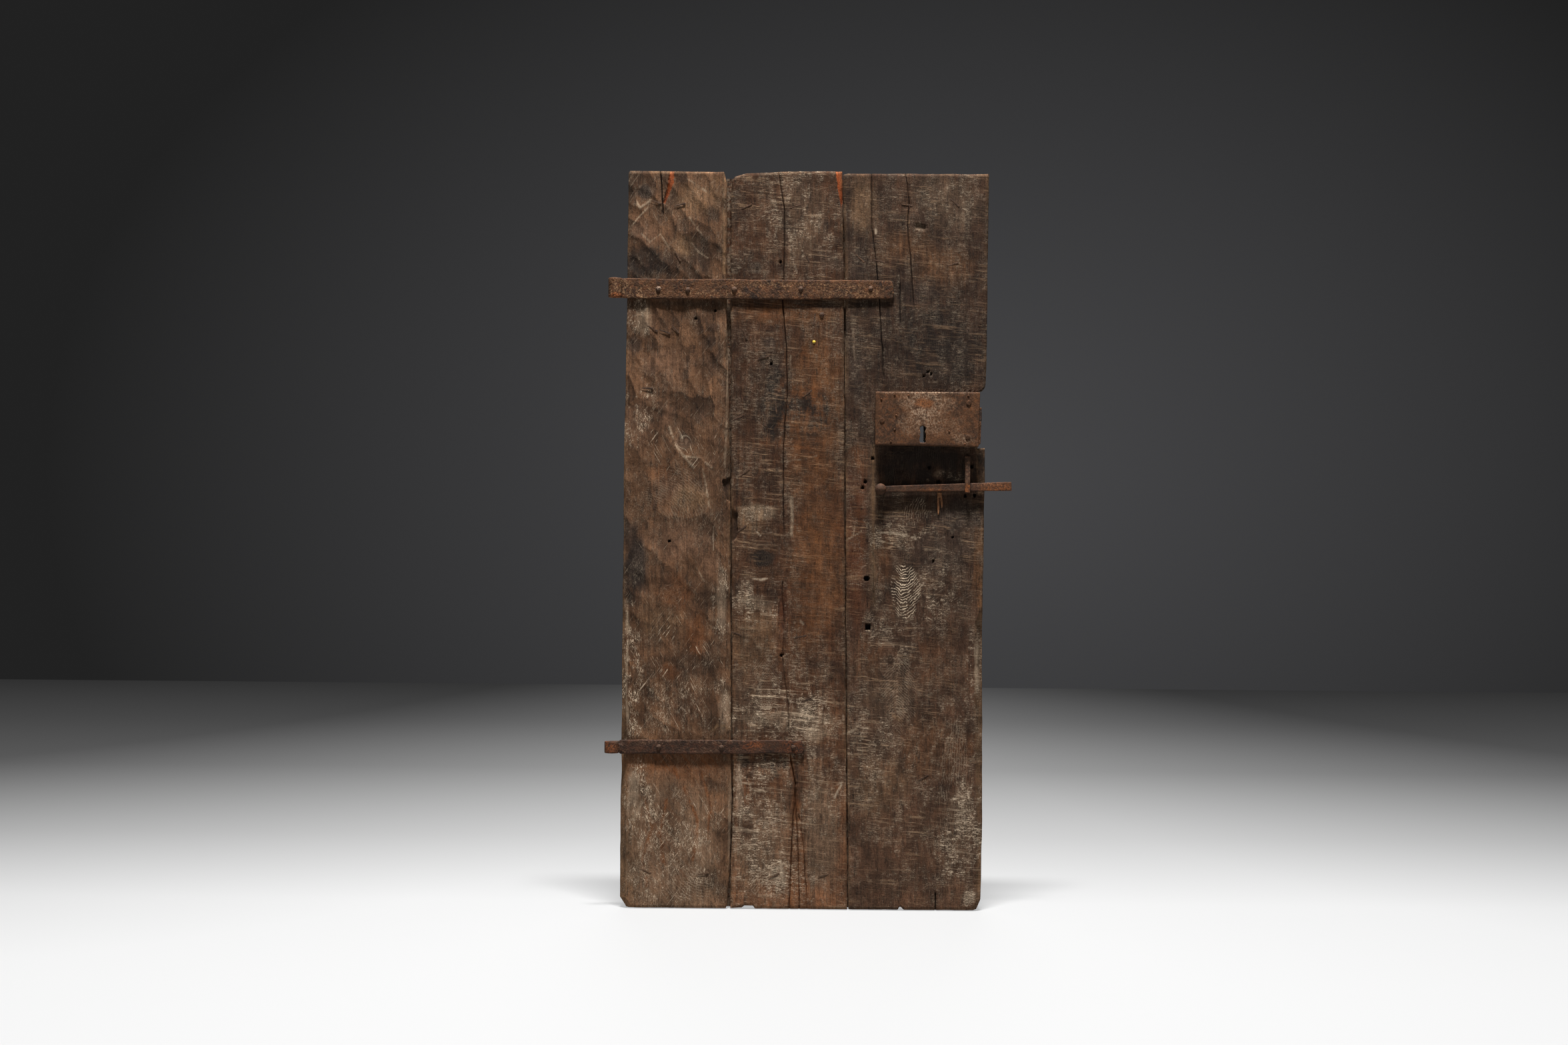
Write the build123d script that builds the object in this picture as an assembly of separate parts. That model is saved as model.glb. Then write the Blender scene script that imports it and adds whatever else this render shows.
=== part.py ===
from build123d import *
import math
import os

# sizes that drive the whole leaf, in millimetres
leaf_width = 855.0
leaf_height = 1747.0
plank_thick = 45.0
ledge_thick = 34.0
axis_to_edge = 24.5
eye_above_foot = 382.0
bore_radius = 10.0
strap_thick = 6.5
lock_width = 247.0
lock_height = 126.0
lock_depth = 30.0
latch_reach = 310.0

# fits and cuts
overrun = 6.0
nail_slack = 0.3
slide_gap = 0.4
turn_gap = 0.08
tongue_slack = 0.5

# depths, from the front (low) to the back (high)
face = bore_radius + strap_thick
back = face + plank_thick
ledge_back = back + ledge_thick

forward = (0, -1, 0)
rearward = (0, 1, 0)
upward = (0, 0, 1)


def across(share):
    return axis_to_edge + share * leaf_width


def up(share):
    return share * leaf_height - eye_above_foot


def on_leaf(shares):
    return [(across(wide), up(high)) for wide, high in shares]


def slab(points, near, far):
    # flat plate: its outline is seen from the front, its thickness runs front to back
    outline = Wire.make_polygon([(x, near, z) for x, z in points], close=True)
    return Solid.extrude(Face(outline), Vector(0, far - near, 0))


def block(x, y, z, wide, deep, high):
    # block given by its middle
    return Pos(x, y, z) * Box(wide, deep, high)


def rod(x, y, z, radius, length, way):
    # round bar that starts at a point and runs one way
    return Solid.make_cylinder(radius, length, Plane(origin=(x, y, z), z_dir=way))


def cap(x, y, z, radius, height, way):
    # low round dome on a flat seat
    ball = (radius ** 2 + height ** 2) / (2 * height)
    seat = Plane(origin=(x, y, z), z_dir=way)
    whole = seat * Pos(0, 0, height - ball) * Sphere(ball)
    keep = seat * Pos(0, 0, ball) * Box(2 * ball, 2 * ball, 2 * ball)
    return whole & keep


def joined(pieces):
    whole = pieces[0]
    for piece in pieces[1:]:
        whole = whole + piece
    return whole


def cleared(stock, tools):
    for tool in tools:
        stock = stock - tool
    return stock


# edges of the planks from foot to top: (width share, height share)
hinge_edge_shares = [(-0.004, 0.012), (-0.003, 0.15), (-0.002, 0.60), (0.002, 0.78), (0.004, 0.997)]
first_left_shares = [(0.294, 0.0), (0.300, 0.051), (0.304, 0.15), (0.292, 0.60), (0.279, 0.82), (0.277, 0.988)]
first_right_shares = [(0.304, 0.0), (0.305, 0.051), (0.308, 0.15), (0.295, 0.60), (0.290, 0.82), (0.289, 0.984)]
second_left_shares = [(0.628, 0.0), (0.622, 0.167), (0.609, 0.60), (0.604, 0.836), (0.596, 1.002)]
second_right_shares = [(0.632, 0.0), (0.625, 0.167), (0.612, 0.60), (0.608, 0.836), (0.599, 0.998)]
free_edge_shares = [(0.997, 0.012), (1.001, 0.116), (0.996, 0.41), (0.999, 0.60), (1.001, 0.762), (1.003, 1.0)]
hinge_top_shares = [(0.010, 1.0), (0.262, 1.0), (0.272, 0.997)]
middle_top_shares = [(0.300, 0.994), (0.330, 0.998), (0.45, 1.001)]
lock_top_shares = [(0.625, 0.999)]
hinge_foot_shares = [(0.012, 0.002)]
middle_foot_shares = [(0.372, 0.0), (0.366, 0.004), (0.342, 0.004), (0.336, 0.001)]
lock_foot_shares = [(0.978, 0.0), (0.784, 0.001), (0.774, 0.005), (0.768, 0.0)]

# tongues of the middle plank
tongue_reach = 17.0
tongue_thick = 14.0
tongue_deep_share = 0.36


def edge_strip(edge_shares, way, reach, slack, extra):
    # strip that follows a plank edge and reaches past it one way
    edge = on_leaf(edge_shares)
    foot_x, foot_z = edge[0]
    top_x, top_z = edge[-1]
    edge = [(foot_x, foot_z - extra)] + edge + [(top_x, top_z + extra)]
    near = face + tongue_deep_share * plank_thick - slack
    inner = [(x - way * overrun, z) for x, z in edge]
    outer = [(x + way * (reach + slack), z) for x, z in reversed(edge)]
    return slab(inner + outer, near, near + tongue_thick + 2 * slack)


# checks (long cracks) in the planks: (width share, height share) from top to foot
hinge_check_shares = [[(0.091, 1.002), (0.099, 0.958), (0.101, 0.937)]]
middle_check_shares = [
    [(0.418, 1.003), (0.437, 0.948), (0.434, 0.825), (0.447, 0.74), (0.439, 0.626), (0.444, 0.483)],
    [(0.444, 0.448), (0.446, 0.384)],
    [(0.462, 0.225), (0.481, 0.166), (0.473, 0.094), (0.467, -0.001)],
    [(0.483, 0.160), (0.492, 0.085), (0.497, -0.001)],
    [(0.484, 0.150), (0.506, 0.085), (0.517, -0.001)],
]
lock_check_shares = [
    [(0.677, 1.002), (0.680, 0.928), (0.704, 0.821), (0.719, 0.704)],
    [(0.771, 1.002), (0.783, 0.958), (0.778, 0.928), (0.800, 0.81)],
    [(0.759, 0.853), (0.762, 0.792)],
    [(0.871, 0.028), (0.872, -0.001)],
]
check_width = 2.4
check_depth = 9.0

# splinters torn from the face: (width share, height share) outlines
hinge_scar_shares = [[(0.121, 1.01), (0.133, 1.01), (0.106, 0.956)], [(0.270, 0.582), (0.31, 0.586), (0.31, 0.553)]]
middle_scar_shares = [
    [(0.576, 1.01), (0.62, 1.01), (0.594, 0.952)],
    [(0.28, 0.543), (0.313, 0.537), (0.310, 0.505), (0.28, 0.498)],
    [(0.424, 0.447), (0.440, 0.447), (0.446, 0.383), (0.431, 0.383)],
]
scar_depth = 4.5

# adze work on the hinge plank
scallop_rows = 17
scallop_cols = 4
scallop_ball = 165.0
scallop_depth = 3.2
scallop_swing_share = 0.35


def check_cut(shares):
    # narrow cut that tapers to a point at its lower end
    line = on_leaf(shares)
    last = len(line) - 1
    right = []
    left = []
    for step, (x, z) in enumerate(line):
        half = 0.5 * check_width * (1 - 0.9 * step / last)
        right.append((x + half, z))
        left.append((x - half, z))
    return slab(right + left[::-1], face - overrun, face + check_depth)


def scar_cut(shares):
    return slab(on_leaf(shares), face - overrun, face + scar_depth)


def scallop_cuts():
    # slanting rows of shallow hollows, each left by one stroke of the adze
    step_x = 0.29 * leaf_width / scallop_cols
    step_z = leaf_height / scallop_rows
    balls = []
    for row in range(scallop_rows):
        for col in range(scallop_cols):
            swing = scallop_swing_share * math.sin(2.4 * row + 1.7 * col)
            slant = 0.5 * col + 0.5 * swing
            x = across(0) + step_x * (col + 0.5 + 0.5 * swing)
            z = up(0) + step_z * (row + slant)
            depth = scallop_depth * (1 + 0.3 * math.sin(1.3 * row + 2.9 * col))
            balls.append(Pos(x, face + depth - scallop_ball, z) * Sphere(scallop_ball))
    return balls


# worn front edges: how high each bevel reaches and its widest leg
hinge_bevel_share = 0.62
free_bevel_share = 0.42
bevel_leg = 16.0


def edge_bevel(edge_x, way, top_share, foot_leg, top_leg):
    # three cornered strip off a front edge, which runs out towards the top
    sections = []
    for z, leg in ((up(0) - overrun, foot_leg), (up(top_share), top_leg)):
        reach = leg + overrun
        corner = (edge_x - way * overrun, face - overrun, z)
        inside = (edge_x + way * reach, face - overrun, z)
        behind = (edge_x - way * overrun, face + reach, z)
        sections.append(Wire.make_polygon([corner, inside, behind], close=True))
    return Solid.make_loft(sections, ruled=True)


# ledges across the back: foot and top height shares
upper_ledge_shares = (0.860, 0.975)
lower_ledge_shares = (0.267, 0.390)
foot_ledge_shares = (0.018, 0.080)
ledge_inset_share = 0.03
ledge_chamfer = 5.0


def ledge(shares, nails):
    low, high = shares
    ends = [(ledge_inset_share, low), (1 - ledge_inset_share, low),
            (1 - ledge_inset_share, high), (ledge_inset_share, high)]
    board = Part() + slab(on_leaf(ends), back, ledge_back)
    rear = board.faces().sort_by(Axis.Y)[-1]
    board = chamfer(rear.edges(), ledge_chamfer)
    return cleared(board, [nail_hole(x, z, back - overrun, ledge_back + overrun) for x, z in nails])


# forged nails with square shanks, points clenched over
shank_side = 5.0
head_radius = 7.0
head_height = 3.5
clench_reach = 26.0
clench_thick = 3.0
clench_tip = 1.4

upper_row_shares = [(0.093, 0.956), (0.160, 0.956), (0.344, 0.956), (0.479, 0.956), (0.791, 0.956), (0.920, 0.956),
                    (0.148, 0.879), (0.506, 0.879), (0.657, 0.879), (0.714, 0.879), (0.918, 0.879)]
lower_row_shares = [(0.327, 0.371), (0.505, 0.371), (0.348, 0.286), (0.520, 0.286)]
foot_row_shares = [(0.081, 0.048), (0.240, 0.048), (0.437, 0.048), (0.573, 0.048)]
upper_strap_nail_shares = [(0.089, 0.0), (0.171, -0.04), (0.300, 0.0), (0.484, 0.05), (0.677, 0.10)]
lower_strap_nail_shares = [(0.102, 0.0), (0.275, 0.0), (0.475, 0.06)]


def nail_hole(x, z, near, far):
    side = shank_side + 2 * nail_slack
    return block(x, 0.5 * (near + far), z, side, far - near, side)


def clench(x, z, seat, way, turn):
    # point of the nail, hammered flat against the wood
    half = 0.5 * shank_side
    ends = [(-half, -half), (-half, half), (clench_reach, clench_tip), (clench_reach, -clench_tip)]
    spin = math.radians(turn)
    points = []
    for along, side in ends:
        points.append((x + along * math.cos(spin) - side * math.sin(spin),
                       z + along * math.sin(spin) + side * math.cos(spin)))
    return slab(points, min(seat, seat + way * clench_thick), max(seat, seat + way * clench_thick))


def nail(x, z, head_seat, head_way, point_seat, turn):
    # head on one side of the door, shank right through, point clenched on the other side
    near = min(head_seat, point_seat)
    far = max(head_seat, point_seat)
    way = forward if head_way < 0 else rearward
    head = Solid.make_cone(head_radius, 0.4 * head_radius, head_height, Plane(origin=(x, head_seat, z), z_dir=way))
    shank = block(x, 0.5 * (near + far), z, shank_side, far - near, shank_side)
    return joined([head, shank, clench(x, z, point_seat, -head_way, turn)])


def ledge_nails(shares):
    return [nail(x, z, ledge_back, 1, face, 160 + 47 * math.sin(7 * place))
            for place, (x, z) in enumerate(on_leaf(shares))]


# hinge straps with rolled eyes, the lower eye at the origin
upper_eye_high = 46.5
lower_eye_high = 28.0
upper_strap_share = 0.840
upper_reach_share = 0.743
lower_reach_share = 0.505
upper_band = 48.0
lower_band = 34.0
upper_rise = 2.0
lower_rise = 3.0
band_taper_share = 0.90
band_end_cut = 9.0
lap_reach = 30.0
lap_thick = 5.0


def strap_points(middle, band, shares):
    return [(across(wide), middle + off * band) for wide, off in shares]


upper_points = strap_points(up(upper_strap_share), upper_band, upper_strap_nail_shares)
lower_points = strap_points(0, lower_band, lower_strap_nail_shares)


def strap_nails(points):
    return [nail(x, z, face - strap_thick, -1, back, 270 + 30 * math.sin(5 * place))
            for place, (x, z) in enumerate(points)]


def rolled_strap(middle, band, end_x, eye_high, rise, lapped):
    # the band lies on the wood and its left end is rolled forward into an eye
    half = 0.5 * band
    tip = half * band_taper_share
    run = end_x - bore_radius
    outline = [(0, middle - half), (0.35 * run, middle - half + 0.2 * rise), (0.7 * run, middle - half + rise),
               (end_x - 0.5 * band_end_cut, middle - tip + rise), (end_x, middle - tip + rise + band_end_cut),
               (end_x - 0.4 * band_end_cut, middle + tip + rise - 0.4 * band_end_cut),
               (end_x - band_end_cut, middle + tip + rise), (0.55 * run, middle + half + 0.3 * rise),
               (0.2 * run, middle + half - 0.2 * rise), (0, middle + half)]
    band_plate = slab(outline, face - strap_thick, face)
    eye_foot = middle - 0.5 * eye_high
    eye = rod(0, 0, eye_foot, bore_radius + strap_thick, eye_high, upward)
    pieces = [band_plate, eye]
    if lapped:
        seat = face - strap_thick
        start = bore_radius
        lap = Wire.make_polygon([(start, seat, middle - 0.36 * eye_high), (start, seat - lap_thick, middle - 0.36 * eye_high),
                                 (lap_reach, seat, middle - 0.36 * eye_high)], close=True)
        pieces.append(Solid.extrude(Face(lap), Vector(0, 0, 0.6 * eye_high)))
    whole = joined(pieces)
    bore = rod(0, 0, middle - band - overrun, bore_radius, 2 * (band + overrun), upward)
    clear = block(-bore_radius, 0, middle, 2 * bore_radius, 4 * face, 2 * band)
    outside = clear - rod(0, 0, middle - band, bore_radius + strap_thick, 2 * band, upward)
    trim_top = block(0, 0, middle + 0.5 * eye_high + band, 2.4 * face, 4 * face, 2 * band)
    trim_foot = block(0, 0, middle - 0.5 * eye_high - band, 2.4 * face, 4 * face, 2 * band)
    return cleared(whole, [outside, bore, trim_top, trim_foot])


# rim lock
lock_iron = 2.5
lock_to_edge = 16.0
lock_foot_share = 0.6305
forend_thick = 4.5
forend_foot_share = 0.05
forend_top_share = 0.72
notch_room = 3.5
notch_round = 14.0
case_lean_share = 0.010

lock_right = across(1) - lock_to_edge
lock_left = lock_right - lock_width
lock_foot = up(lock_foot_share)
lock_front = face - lock_depth
lock_skin = lock_front + lock_iron


def in_lock(wide, high):
    return (lock_left + wide * lock_width, lock_foot + high * lock_height)


# keyhole and the way of the key through the wood: shares of the lock
key_share = (0.456, 0.312)
key_round = 6.5
key_drop = 32.0
ward_step = 4.2
key_room = 8.0
key_x, key_z = in_lock(*key_share)

# bolt
bolt_high = 26.0
bolt_thick = 9.0
bolt_share = 0.56
bolt_throw = 16.0
bolt_left_share = 0.10
stud_share = (0.20, 0.56)
stud_radius = 3.0
talon_wide = 15.0
talon_high = 11.0
bolt_z = lock_foot + bolt_share * lock_height
bolt_near = lock_skin + slide_gap
bolt_far = bolt_near + bolt_thick

# heads on the case: shares of the lock
lock_nail_shares = [(0.065, 0.46), (0.892, 0.80), (0.884, 0.155)]
lock_rivet_shares = [(0.186, 0.29), (0.708, 0.265), (0.057, 0.86), (0.182, 0.945), (0.316, 0.93),
                     (0.887, 0.935), (0.150, 0.065), (0.858, 0.03)]
lock_head_radius = 6.3
lock_head_thick = 1.6
lock_nail_deep = 30.0
rivet_radius = 3.2
rivet_high = 2.0
rivet_shank = 1.8


def lock_outline(inset):
    lean = case_lean_share * lock_width
    return [(lock_left + inset, lock_foot + inset), (lock_right - inset - lean, lock_foot - lean + inset),
            (lock_right - inset, lock_foot + lock_height - inset), (lock_left + inset, lock_foot + lock_height - inset)]


def bolt_way(gap):
    # room of the bolt through the end of the case
    high = bolt_high + 2 * gap
    deep = bolt_thick + 2 * gap
    return block(lock_right, bolt_near + 0.5 * bolt_thick, bolt_z, 4 * overrun, deep, high)


def keyhole(near, far):
    # round top with a slot below it, stepped to pass only the right key
    half = 0.32 * key_round
    steps = [(-half, 0)]
    left = [(half, 0)]
    rows = 5
    for row in range(1, rows + 1):
        z = -key_drop * row / rows
        shift = half + (ward_step if row % 2 else 0.35 * ward_step)
        steps.append((-shift, z))
        left.append((half + (0.35 * ward_step if row % 2 else 0.8 * ward_step), z))
    points = [(key_x + x, key_z + z) for x, z in steps + left[::-1]]
    return slab(points, near, far) + rod(key_x, near, key_z, key_round, far - near, rearward)


def lock_case():
    case = slab(lock_outline(0), lock_front, face)
    hollow = slab(lock_outline(lock_iron), lock_skin, face + overrun)
    tools = [hollow, keyhole(lock_front - overrun, lock_skin + overrun), bolt_way(slide_gap)]
    for wide, high in lock_nail_shares:
        x, z = in_lock(wide, high)
        tools.append(nail_hole(x, z, lock_front - overrun, lock_skin + overrun))
    for wide, high in lock_rivet_shares + [stud_share]:
        x, z = in_lock(wide, high)
        tools.append(rod(x, lock_front - overrun, z, rivet_shank + nail_slack, lock_iron + 2 * overrun, rearward))
    return cleared(case, tools)


def lock_forend():
    lean = case_lean_share * lock_width
    seat = []
    for share in (forend_foot_share, forend_top_share):
        seat.append((lock_right - lean * (1 - share), lock_foot - lean + share * (lock_height + lean)))
    outer = [(x + forend_thick, z) for x, z in reversed(seat)]
    return slab(seat + outer, lock_skin, face) - bolt_way(slide_gap)


def lock_bolt():
    left = lock_left + bolt_left_share * lock_width
    right = lock_right + forend_thick
    bar = block(0.5 * (left + right), bolt_near + 0.5 * bolt_thick, bolt_z, right - left, bolt_thick, bolt_high)
    stud_x, stud_z = in_lock(*stud_share)
    slot_round = stud_radius + slide_gap
    far_x = stud_x - bolt_throw
    slot = block(0.5 * (stud_x + far_x), bolt_near, stud_z, bolt_throw, 4 * bolt_thick, 2 * slot_round)
    ends = [rod(x, bolt_near - overrun, stud_z, slot_round, bolt_thick + 2 * overrun, rearward) for x in (stud_x, far_x)]
    talon = block(key_x, bolt_near, bolt_z - 0.5 * bolt_high, talon_wide, 4 * bolt_thick, 2 * talon_high)
    return cleared(bar, [slot, talon] + ends)


def lock_rivets():
    solids = []
    for wide, high in lock_rivet_shares:
        x, z = in_lock(wide, high)
        solids.append(cap(x, lock_front, z, rivet_radius, rivet_high, forward)
                      + rod(x, lock_front, z, rivet_shank, lock_iron, rearward))
    x, z = in_lock(*stud_share)
    reach = bolt_thick + 2 * slide_gap
    solids.append(joined([cap(x, lock_front, z, rivet_radius, rivet_high, forward),
                          rod(x, lock_front, z, rivet_shank, lock_iron + reach, rearward),
                          rod(x, lock_skin, z, stud_radius, reach, rearward),
                          rod(x, lock_skin + reach, z, 2 * stud_radius, lock_iron, rearward)]))
    return solids


def lock_nails():
    solids = []
    for wide, high in lock_nail_shares:
        x, z = in_lock(wide, high)
        reach = lock_depth + lock_nail_deep
        shank = block(x, lock_front + 0.5 * reach, z, shank_side, reach, shank_side)
        solids.append(rod(x, lock_front, z, lock_head_radius, lock_head_thick, forward) + shank)
    return solids


# key bridge behind the keyhole and the spring on the bolt
bridge_high = 22.0
bridge_reach_share = 0.262
bridge_stand = 18.0
bridge_iron = 2.0
spring_thick = 1.6
spring_wide = 8.0
spring_share = (0.175, 0.80)
spring_reach = 92.0


def key_bridge():
    # strap bent like a hat: two feet on the plate, the middle stands clear of the key
    reach = bridge_reach_share * lock_width
    foot = 0.18 * reach
    y = lock_skin
    outer = [(-reach - foot, y), (-reach - foot, y + bridge_iron), (-reach, y + bridge_iron),
             (-reach, y + bridge_stand), (reach, y + bridge_stand), (reach, y + bridge_iron),
             (reach + foot, y + bridge_iron), (reach + foot, y), (reach - bridge_iron, y),
             (reach - bridge_iron, y + bridge_stand - bridge_iron), (-reach + bridge_iron, y + bridge_stand - bridge_iron),
             (-reach + bridge_iron, y)]
    foot_z = key_z - 0.5 * bridge_high
    wire = Wire.make_polygon([(key_x + x, depth, foot_z) for x, depth in outer], close=True)
    strap = Solid.extrude(Face(wire), Vector(0, 0, bridge_high))
    gate_top = key_z + key_round
    gate = block(key_x, y + bridge_stand, gate_top - bridge_high, 2 * key_room, 4 * bridge_iron, 2 * bridge_high)
    return strap - gate


def bolt_spring():
    # leaf spring: its foot stands on the plate, its blade bows down to the top of the bolt
    x, z = in_lock(*spring_share)
    tip_z = bolt_z + 0.5 * bolt_high + slide_gap
    drop = z - tip_z
    upper = [(x, z, 0), (x + 0.5 * spring_reach, z + 0.25 * drop, 0), (x + spring_reach, tip_z + spring_thick, 0)]
    lower = [(x + spring_reach, tip_z, 0), (x + 0.5 * spring_reach, z + 0.25 * drop - spring_thick, 0), (x, z - spring_thick, 0)]
    near = bolt_near
    blade = Wire([ThreePointArc(*[(px, near, pz) for px, pz, none in upper]).edge(),
                  Line((x + spring_reach, near, tip_z + spring_thick), (x + spring_reach, near, tip_z)).edge(),
                  ThreePointArc(*[(px, near, pz) for px, pz, none in lower]).edge(),
                  Line((x, near, z - spring_thick), (x, near, z)).edge()])
    leaf = Solid.extrude(Face(blade), Vector(0, spring_wide, 0))
    foot = block(x - 0.5 * spring_wide, lock_skin + 0.5 * spring_wide, z - 0.5 * spring_thick,
                 spring_wide, spring_wide, 0.8 * spring_wide)
    leaf = leaf + foot
    return leaf


# latch
pivot_share = (0.7095, 0.571)
latch_rise = 1.7
latch_root = 7.0
latch_nose = 10.5
latch_thick = 7.0
latch_stand = 6.0
latch_eye = 11.5
pivot_radius = 5.0
pivot_dome = 14.0
pivot_dome_high = 9.0
rove_thick = 3.0
play = 0.3

pivot_x, pivot_z = on_leaf([pivot_share])[0]
latch_far = face - latch_stand
latch_near = latch_far - latch_thick


def latch_bar():
    # bar that swells from the pivot to the nose, with a round eye
    bar = slab([(0, -latch_root), (latch_reach, -latch_nose), (latch_reach, latch_nose), (0, latch_root)],
               latch_near, latch_far)
    bar = bar + rod(0, latch_near, 0, latch_eye, latch_thick, rearward)
    bar = bar - rod(0, latch_near - overrun, 0, pivot_radius + turn_gap, latch_thick + 2 * overrun, rearward)
    return Pos(pivot_x, 0, pivot_z) * Rot(0, -latch_rise, 0) * bar


def latch_pivot():
    seat = latch_near - play
    dome = cap(pivot_x, seat, pivot_z, pivot_dome, pivot_dome_high, forward)
    shank = rod(pivot_x, seat, pivot_z, pivot_radius, back + rove_thick - seat, rearward)
    rove = rod(pivot_x, back, pivot_z, 2 * pivot_radius, rove_thick, rearward)
    return joined([dome, shank, rove])


def latch_washer():
    thick = latch_stand - play
    ring = rod(pivot_x, face - thick, pivot_z, latch_eye, thick, rearward)
    return ring - rod(pivot_x, face - thick - overrun, pivot_z, pivot_radius + nail_slack, thick + 2 * overrun, rearward)


# staple of the latch
staple_share = 0.9497
staple_high = 88.0
staple_wide = 12.3
staple_iron = 4.0
staple_deep = 34.0
staple_room = 1.2
staple_x = across(staple_share)
latch_at_staple = pivot_z + (staple_x - pivot_x) * math.tan(math.radians(latch_rise))
swell = latch_root + (latch_nose - latch_root) * (staple_x + staple_wide - pivot_x) / latch_reach
staple_foot = latch_at_staple - swell - play - staple_iron


def latch_staple():
    near = latch_near - staple_room - staple_iron
    reach = face + staple_deep
    profile = [(near, 0), (reach, 0), (reach, staple_iron), (near + staple_iron, staple_iron),
               (near + staple_iron, staple_high - staple_iron), (reach, staple_high - staple_iron),
               (reach, staple_high), (near, staple_high)]
    left = staple_x - 0.5 * staple_wide
    wire = Wire.make_polygon([(left, y, staple_foot + z) for y, z in profile], close=True)
    return Solid.extrude(Face(wire), Vector(staple_wide, 0, 0))


def staple_holes():
    side = staple_iron + 2 * nail_slack
    wide = staple_wide + 2 * nail_slack
    deep = staple_deep + nail_slack + overrun
    middles = (staple_foot + 0.5 * staple_iron, staple_foot + staple_high - 0.5 * staple_iron)
    return [block(staple_x, face + 0.5 * deep - overrun, z, wide, deep + overrun, side) for z in middles]


# split pin with spread legs
pin_share = (0.8735, 0.5655)
leg_wide = 5.2
leg_thick = 3.6
leg_shank_high = 6.0
long_leg = 50.0
short_leg = 34.0
leg_point = 12.0
ring_radius = 10.0
slot_high = 24.0
pin_x, pin_z = on_leaf([pin_share])[0]


def leg(side, reach, splay):
    # one leg: bent down on the face, drawn to a point
    near_x = pin_x + side * 0.3 * nail_slack
    far_x = near_x + side * leg_wide
    tip_x = 0.5 * (near_x + far_x) + side * splay
    top = pin_z + 0.5 * leg_shank_high
    foot = pin_z - reach
    outline = [(near_x, top), (far_x, top), (far_x + 0.8 * side * splay, foot + leg_point),
               (tip_x + side * 0.2 * leg_wide, foot), (tip_x - side * 0.2 * leg_wide, foot),
               (near_x + 0.8 * side * splay, foot + leg_point)]
    return slab(outline, face - leg_thick, face)


def split_pin():
    depth = back - face + leg_thick
    shank = block(pin_x, face - leg_thick + 0.5 * depth, pin_z, 2 * leg_wide, depth, leg_shank_high)
    ring_y = back + 0.75 * ring_radius
    ring = rod(pin_x - 0.5 * leg_wide, ring_y, pin_z, ring_radius, leg_wide, (1, 0, 0))
    hole = rod(pin_x - leg_wide, ring_y, pin_z, 0.55 * ring_radius, 2 * leg_wide, (1, 0, 0))
    front = block(pin_x, back - ring_radius, pin_z, 4 * leg_wide, 2 * ring_radius, 4 * ring_radius)
    ring = (ring - hole) - front
    return joined([shank, leg(-1, long_leg, 0), leg(1, short_leg, leg_wide * 0.6), ring])


def pin_slot():
    wide = 2 * leg_wide + 2 * nail_slack
    z = pin_z - 0.5 * leg_shank_high - nail_slack + 0.5 * slot_high
    return block(pin_x, 0.5 * (face + back), z, wide, plank_thick + 2 * overrun, slot_high)


# single nails and old holes on the face
dome_nail_share = (0.543, 0.807)
dome_nail_radius = 6.3
dome_nail_high = 3.4
marker_share = (0.522, 0.770)
marker_radius = 4.0
marker_high = 2.6
stray_deep = 26.0
stray_shares = [(0.085, 0.783), (0.121, 0.780), (0.145, 0.781), (0.074, 0.705), (0.335, 0.774), (0.395, 0.750),
                (0.420, 0.673), (0.324, 0.669), (0.389, 0.656), (0.336, 0.519), (0.520, 0.794), (0.516, 0.704),
                (0.081, 0.542), (0.344, 0.596), (0.822, 0.202), (0.847, 0.183)]
square_hole_shares = [(0.674, 0.450), (0.680, 0.383)]
square_hole_side = 13.5
square_hole_deep = 22.0
round_hole_shares = [(0.687, 0.612), (0.667, 0.580), (0.659, 0.573), (0.970, 0.564)]
small_hole_shares = [(0.839, 0.731), (0.848, 0.728), (0.828, 0.725), (0.248, 0.811), (0.194, 0.800),
                     (0.428, 0.878), (0.404, 0.740), (0.911, 0.507), (0.858, 0.474)]
round_hole_radius = 3.5
small_hole_radius = 2.0
round_hole_deep = 16.0


def stray_nails():
    # old nails whose bent points still lie on the face
    solids = []
    for place, (x, z) in enumerate(on_leaf(stray_shares)):
        shank = block(x, face + 0.5 * stray_deep, z, shank_side, stray_deep, shank_side)
        solids.append(shank + clench(x, z, face, -1, 150 + 70 * math.sin(3 * place)))
    return solids


def pushed_pin(share, radius, height):
    x, z = on_leaf([share])[0]
    return cap(x, face, z, radius, height, forward) + rod(x, face, z, 0.3 * radius, stray_deep, rearward)


def face_holes():
    tools = []
    for x, z in on_leaf(stray_shares):
        tools.append(nail_hole(x, z, face - overrun, face + stray_deep + nail_slack))
    for share, radius in ((dome_nail_share, dome_nail_radius), (marker_share, marker_radius)):
        x, z = on_leaf([share])[0]
        tools.append(rod(x, face - overrun, z, 0.3 * radius + nail_slack, stray_deep + 2 * overrun, rearward))
    for x, z in on_leaf(square_hole_shares):
        tools.append(block(x, face, z, square_hole_side, 2 * square_hole_deep, square_hole_side))
    for radius, shares in ((round_hole_radius, round_hole_shares), (small_hole_radius, small_hole_shares)):
        for x, z in on_leaf(shares):
            tools.append(rod(x, face - overrun, z, radius, round_hole_deep + overrun, rearward))
    return tools


def through_holes():
    points = on_leaf(upper_row_shares + lower_row_shares + foot_row_shares) + upper_points + lower_points
    return [nail_hole(x, z, face - overrun, back + overrun) for x, z in points]


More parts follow.
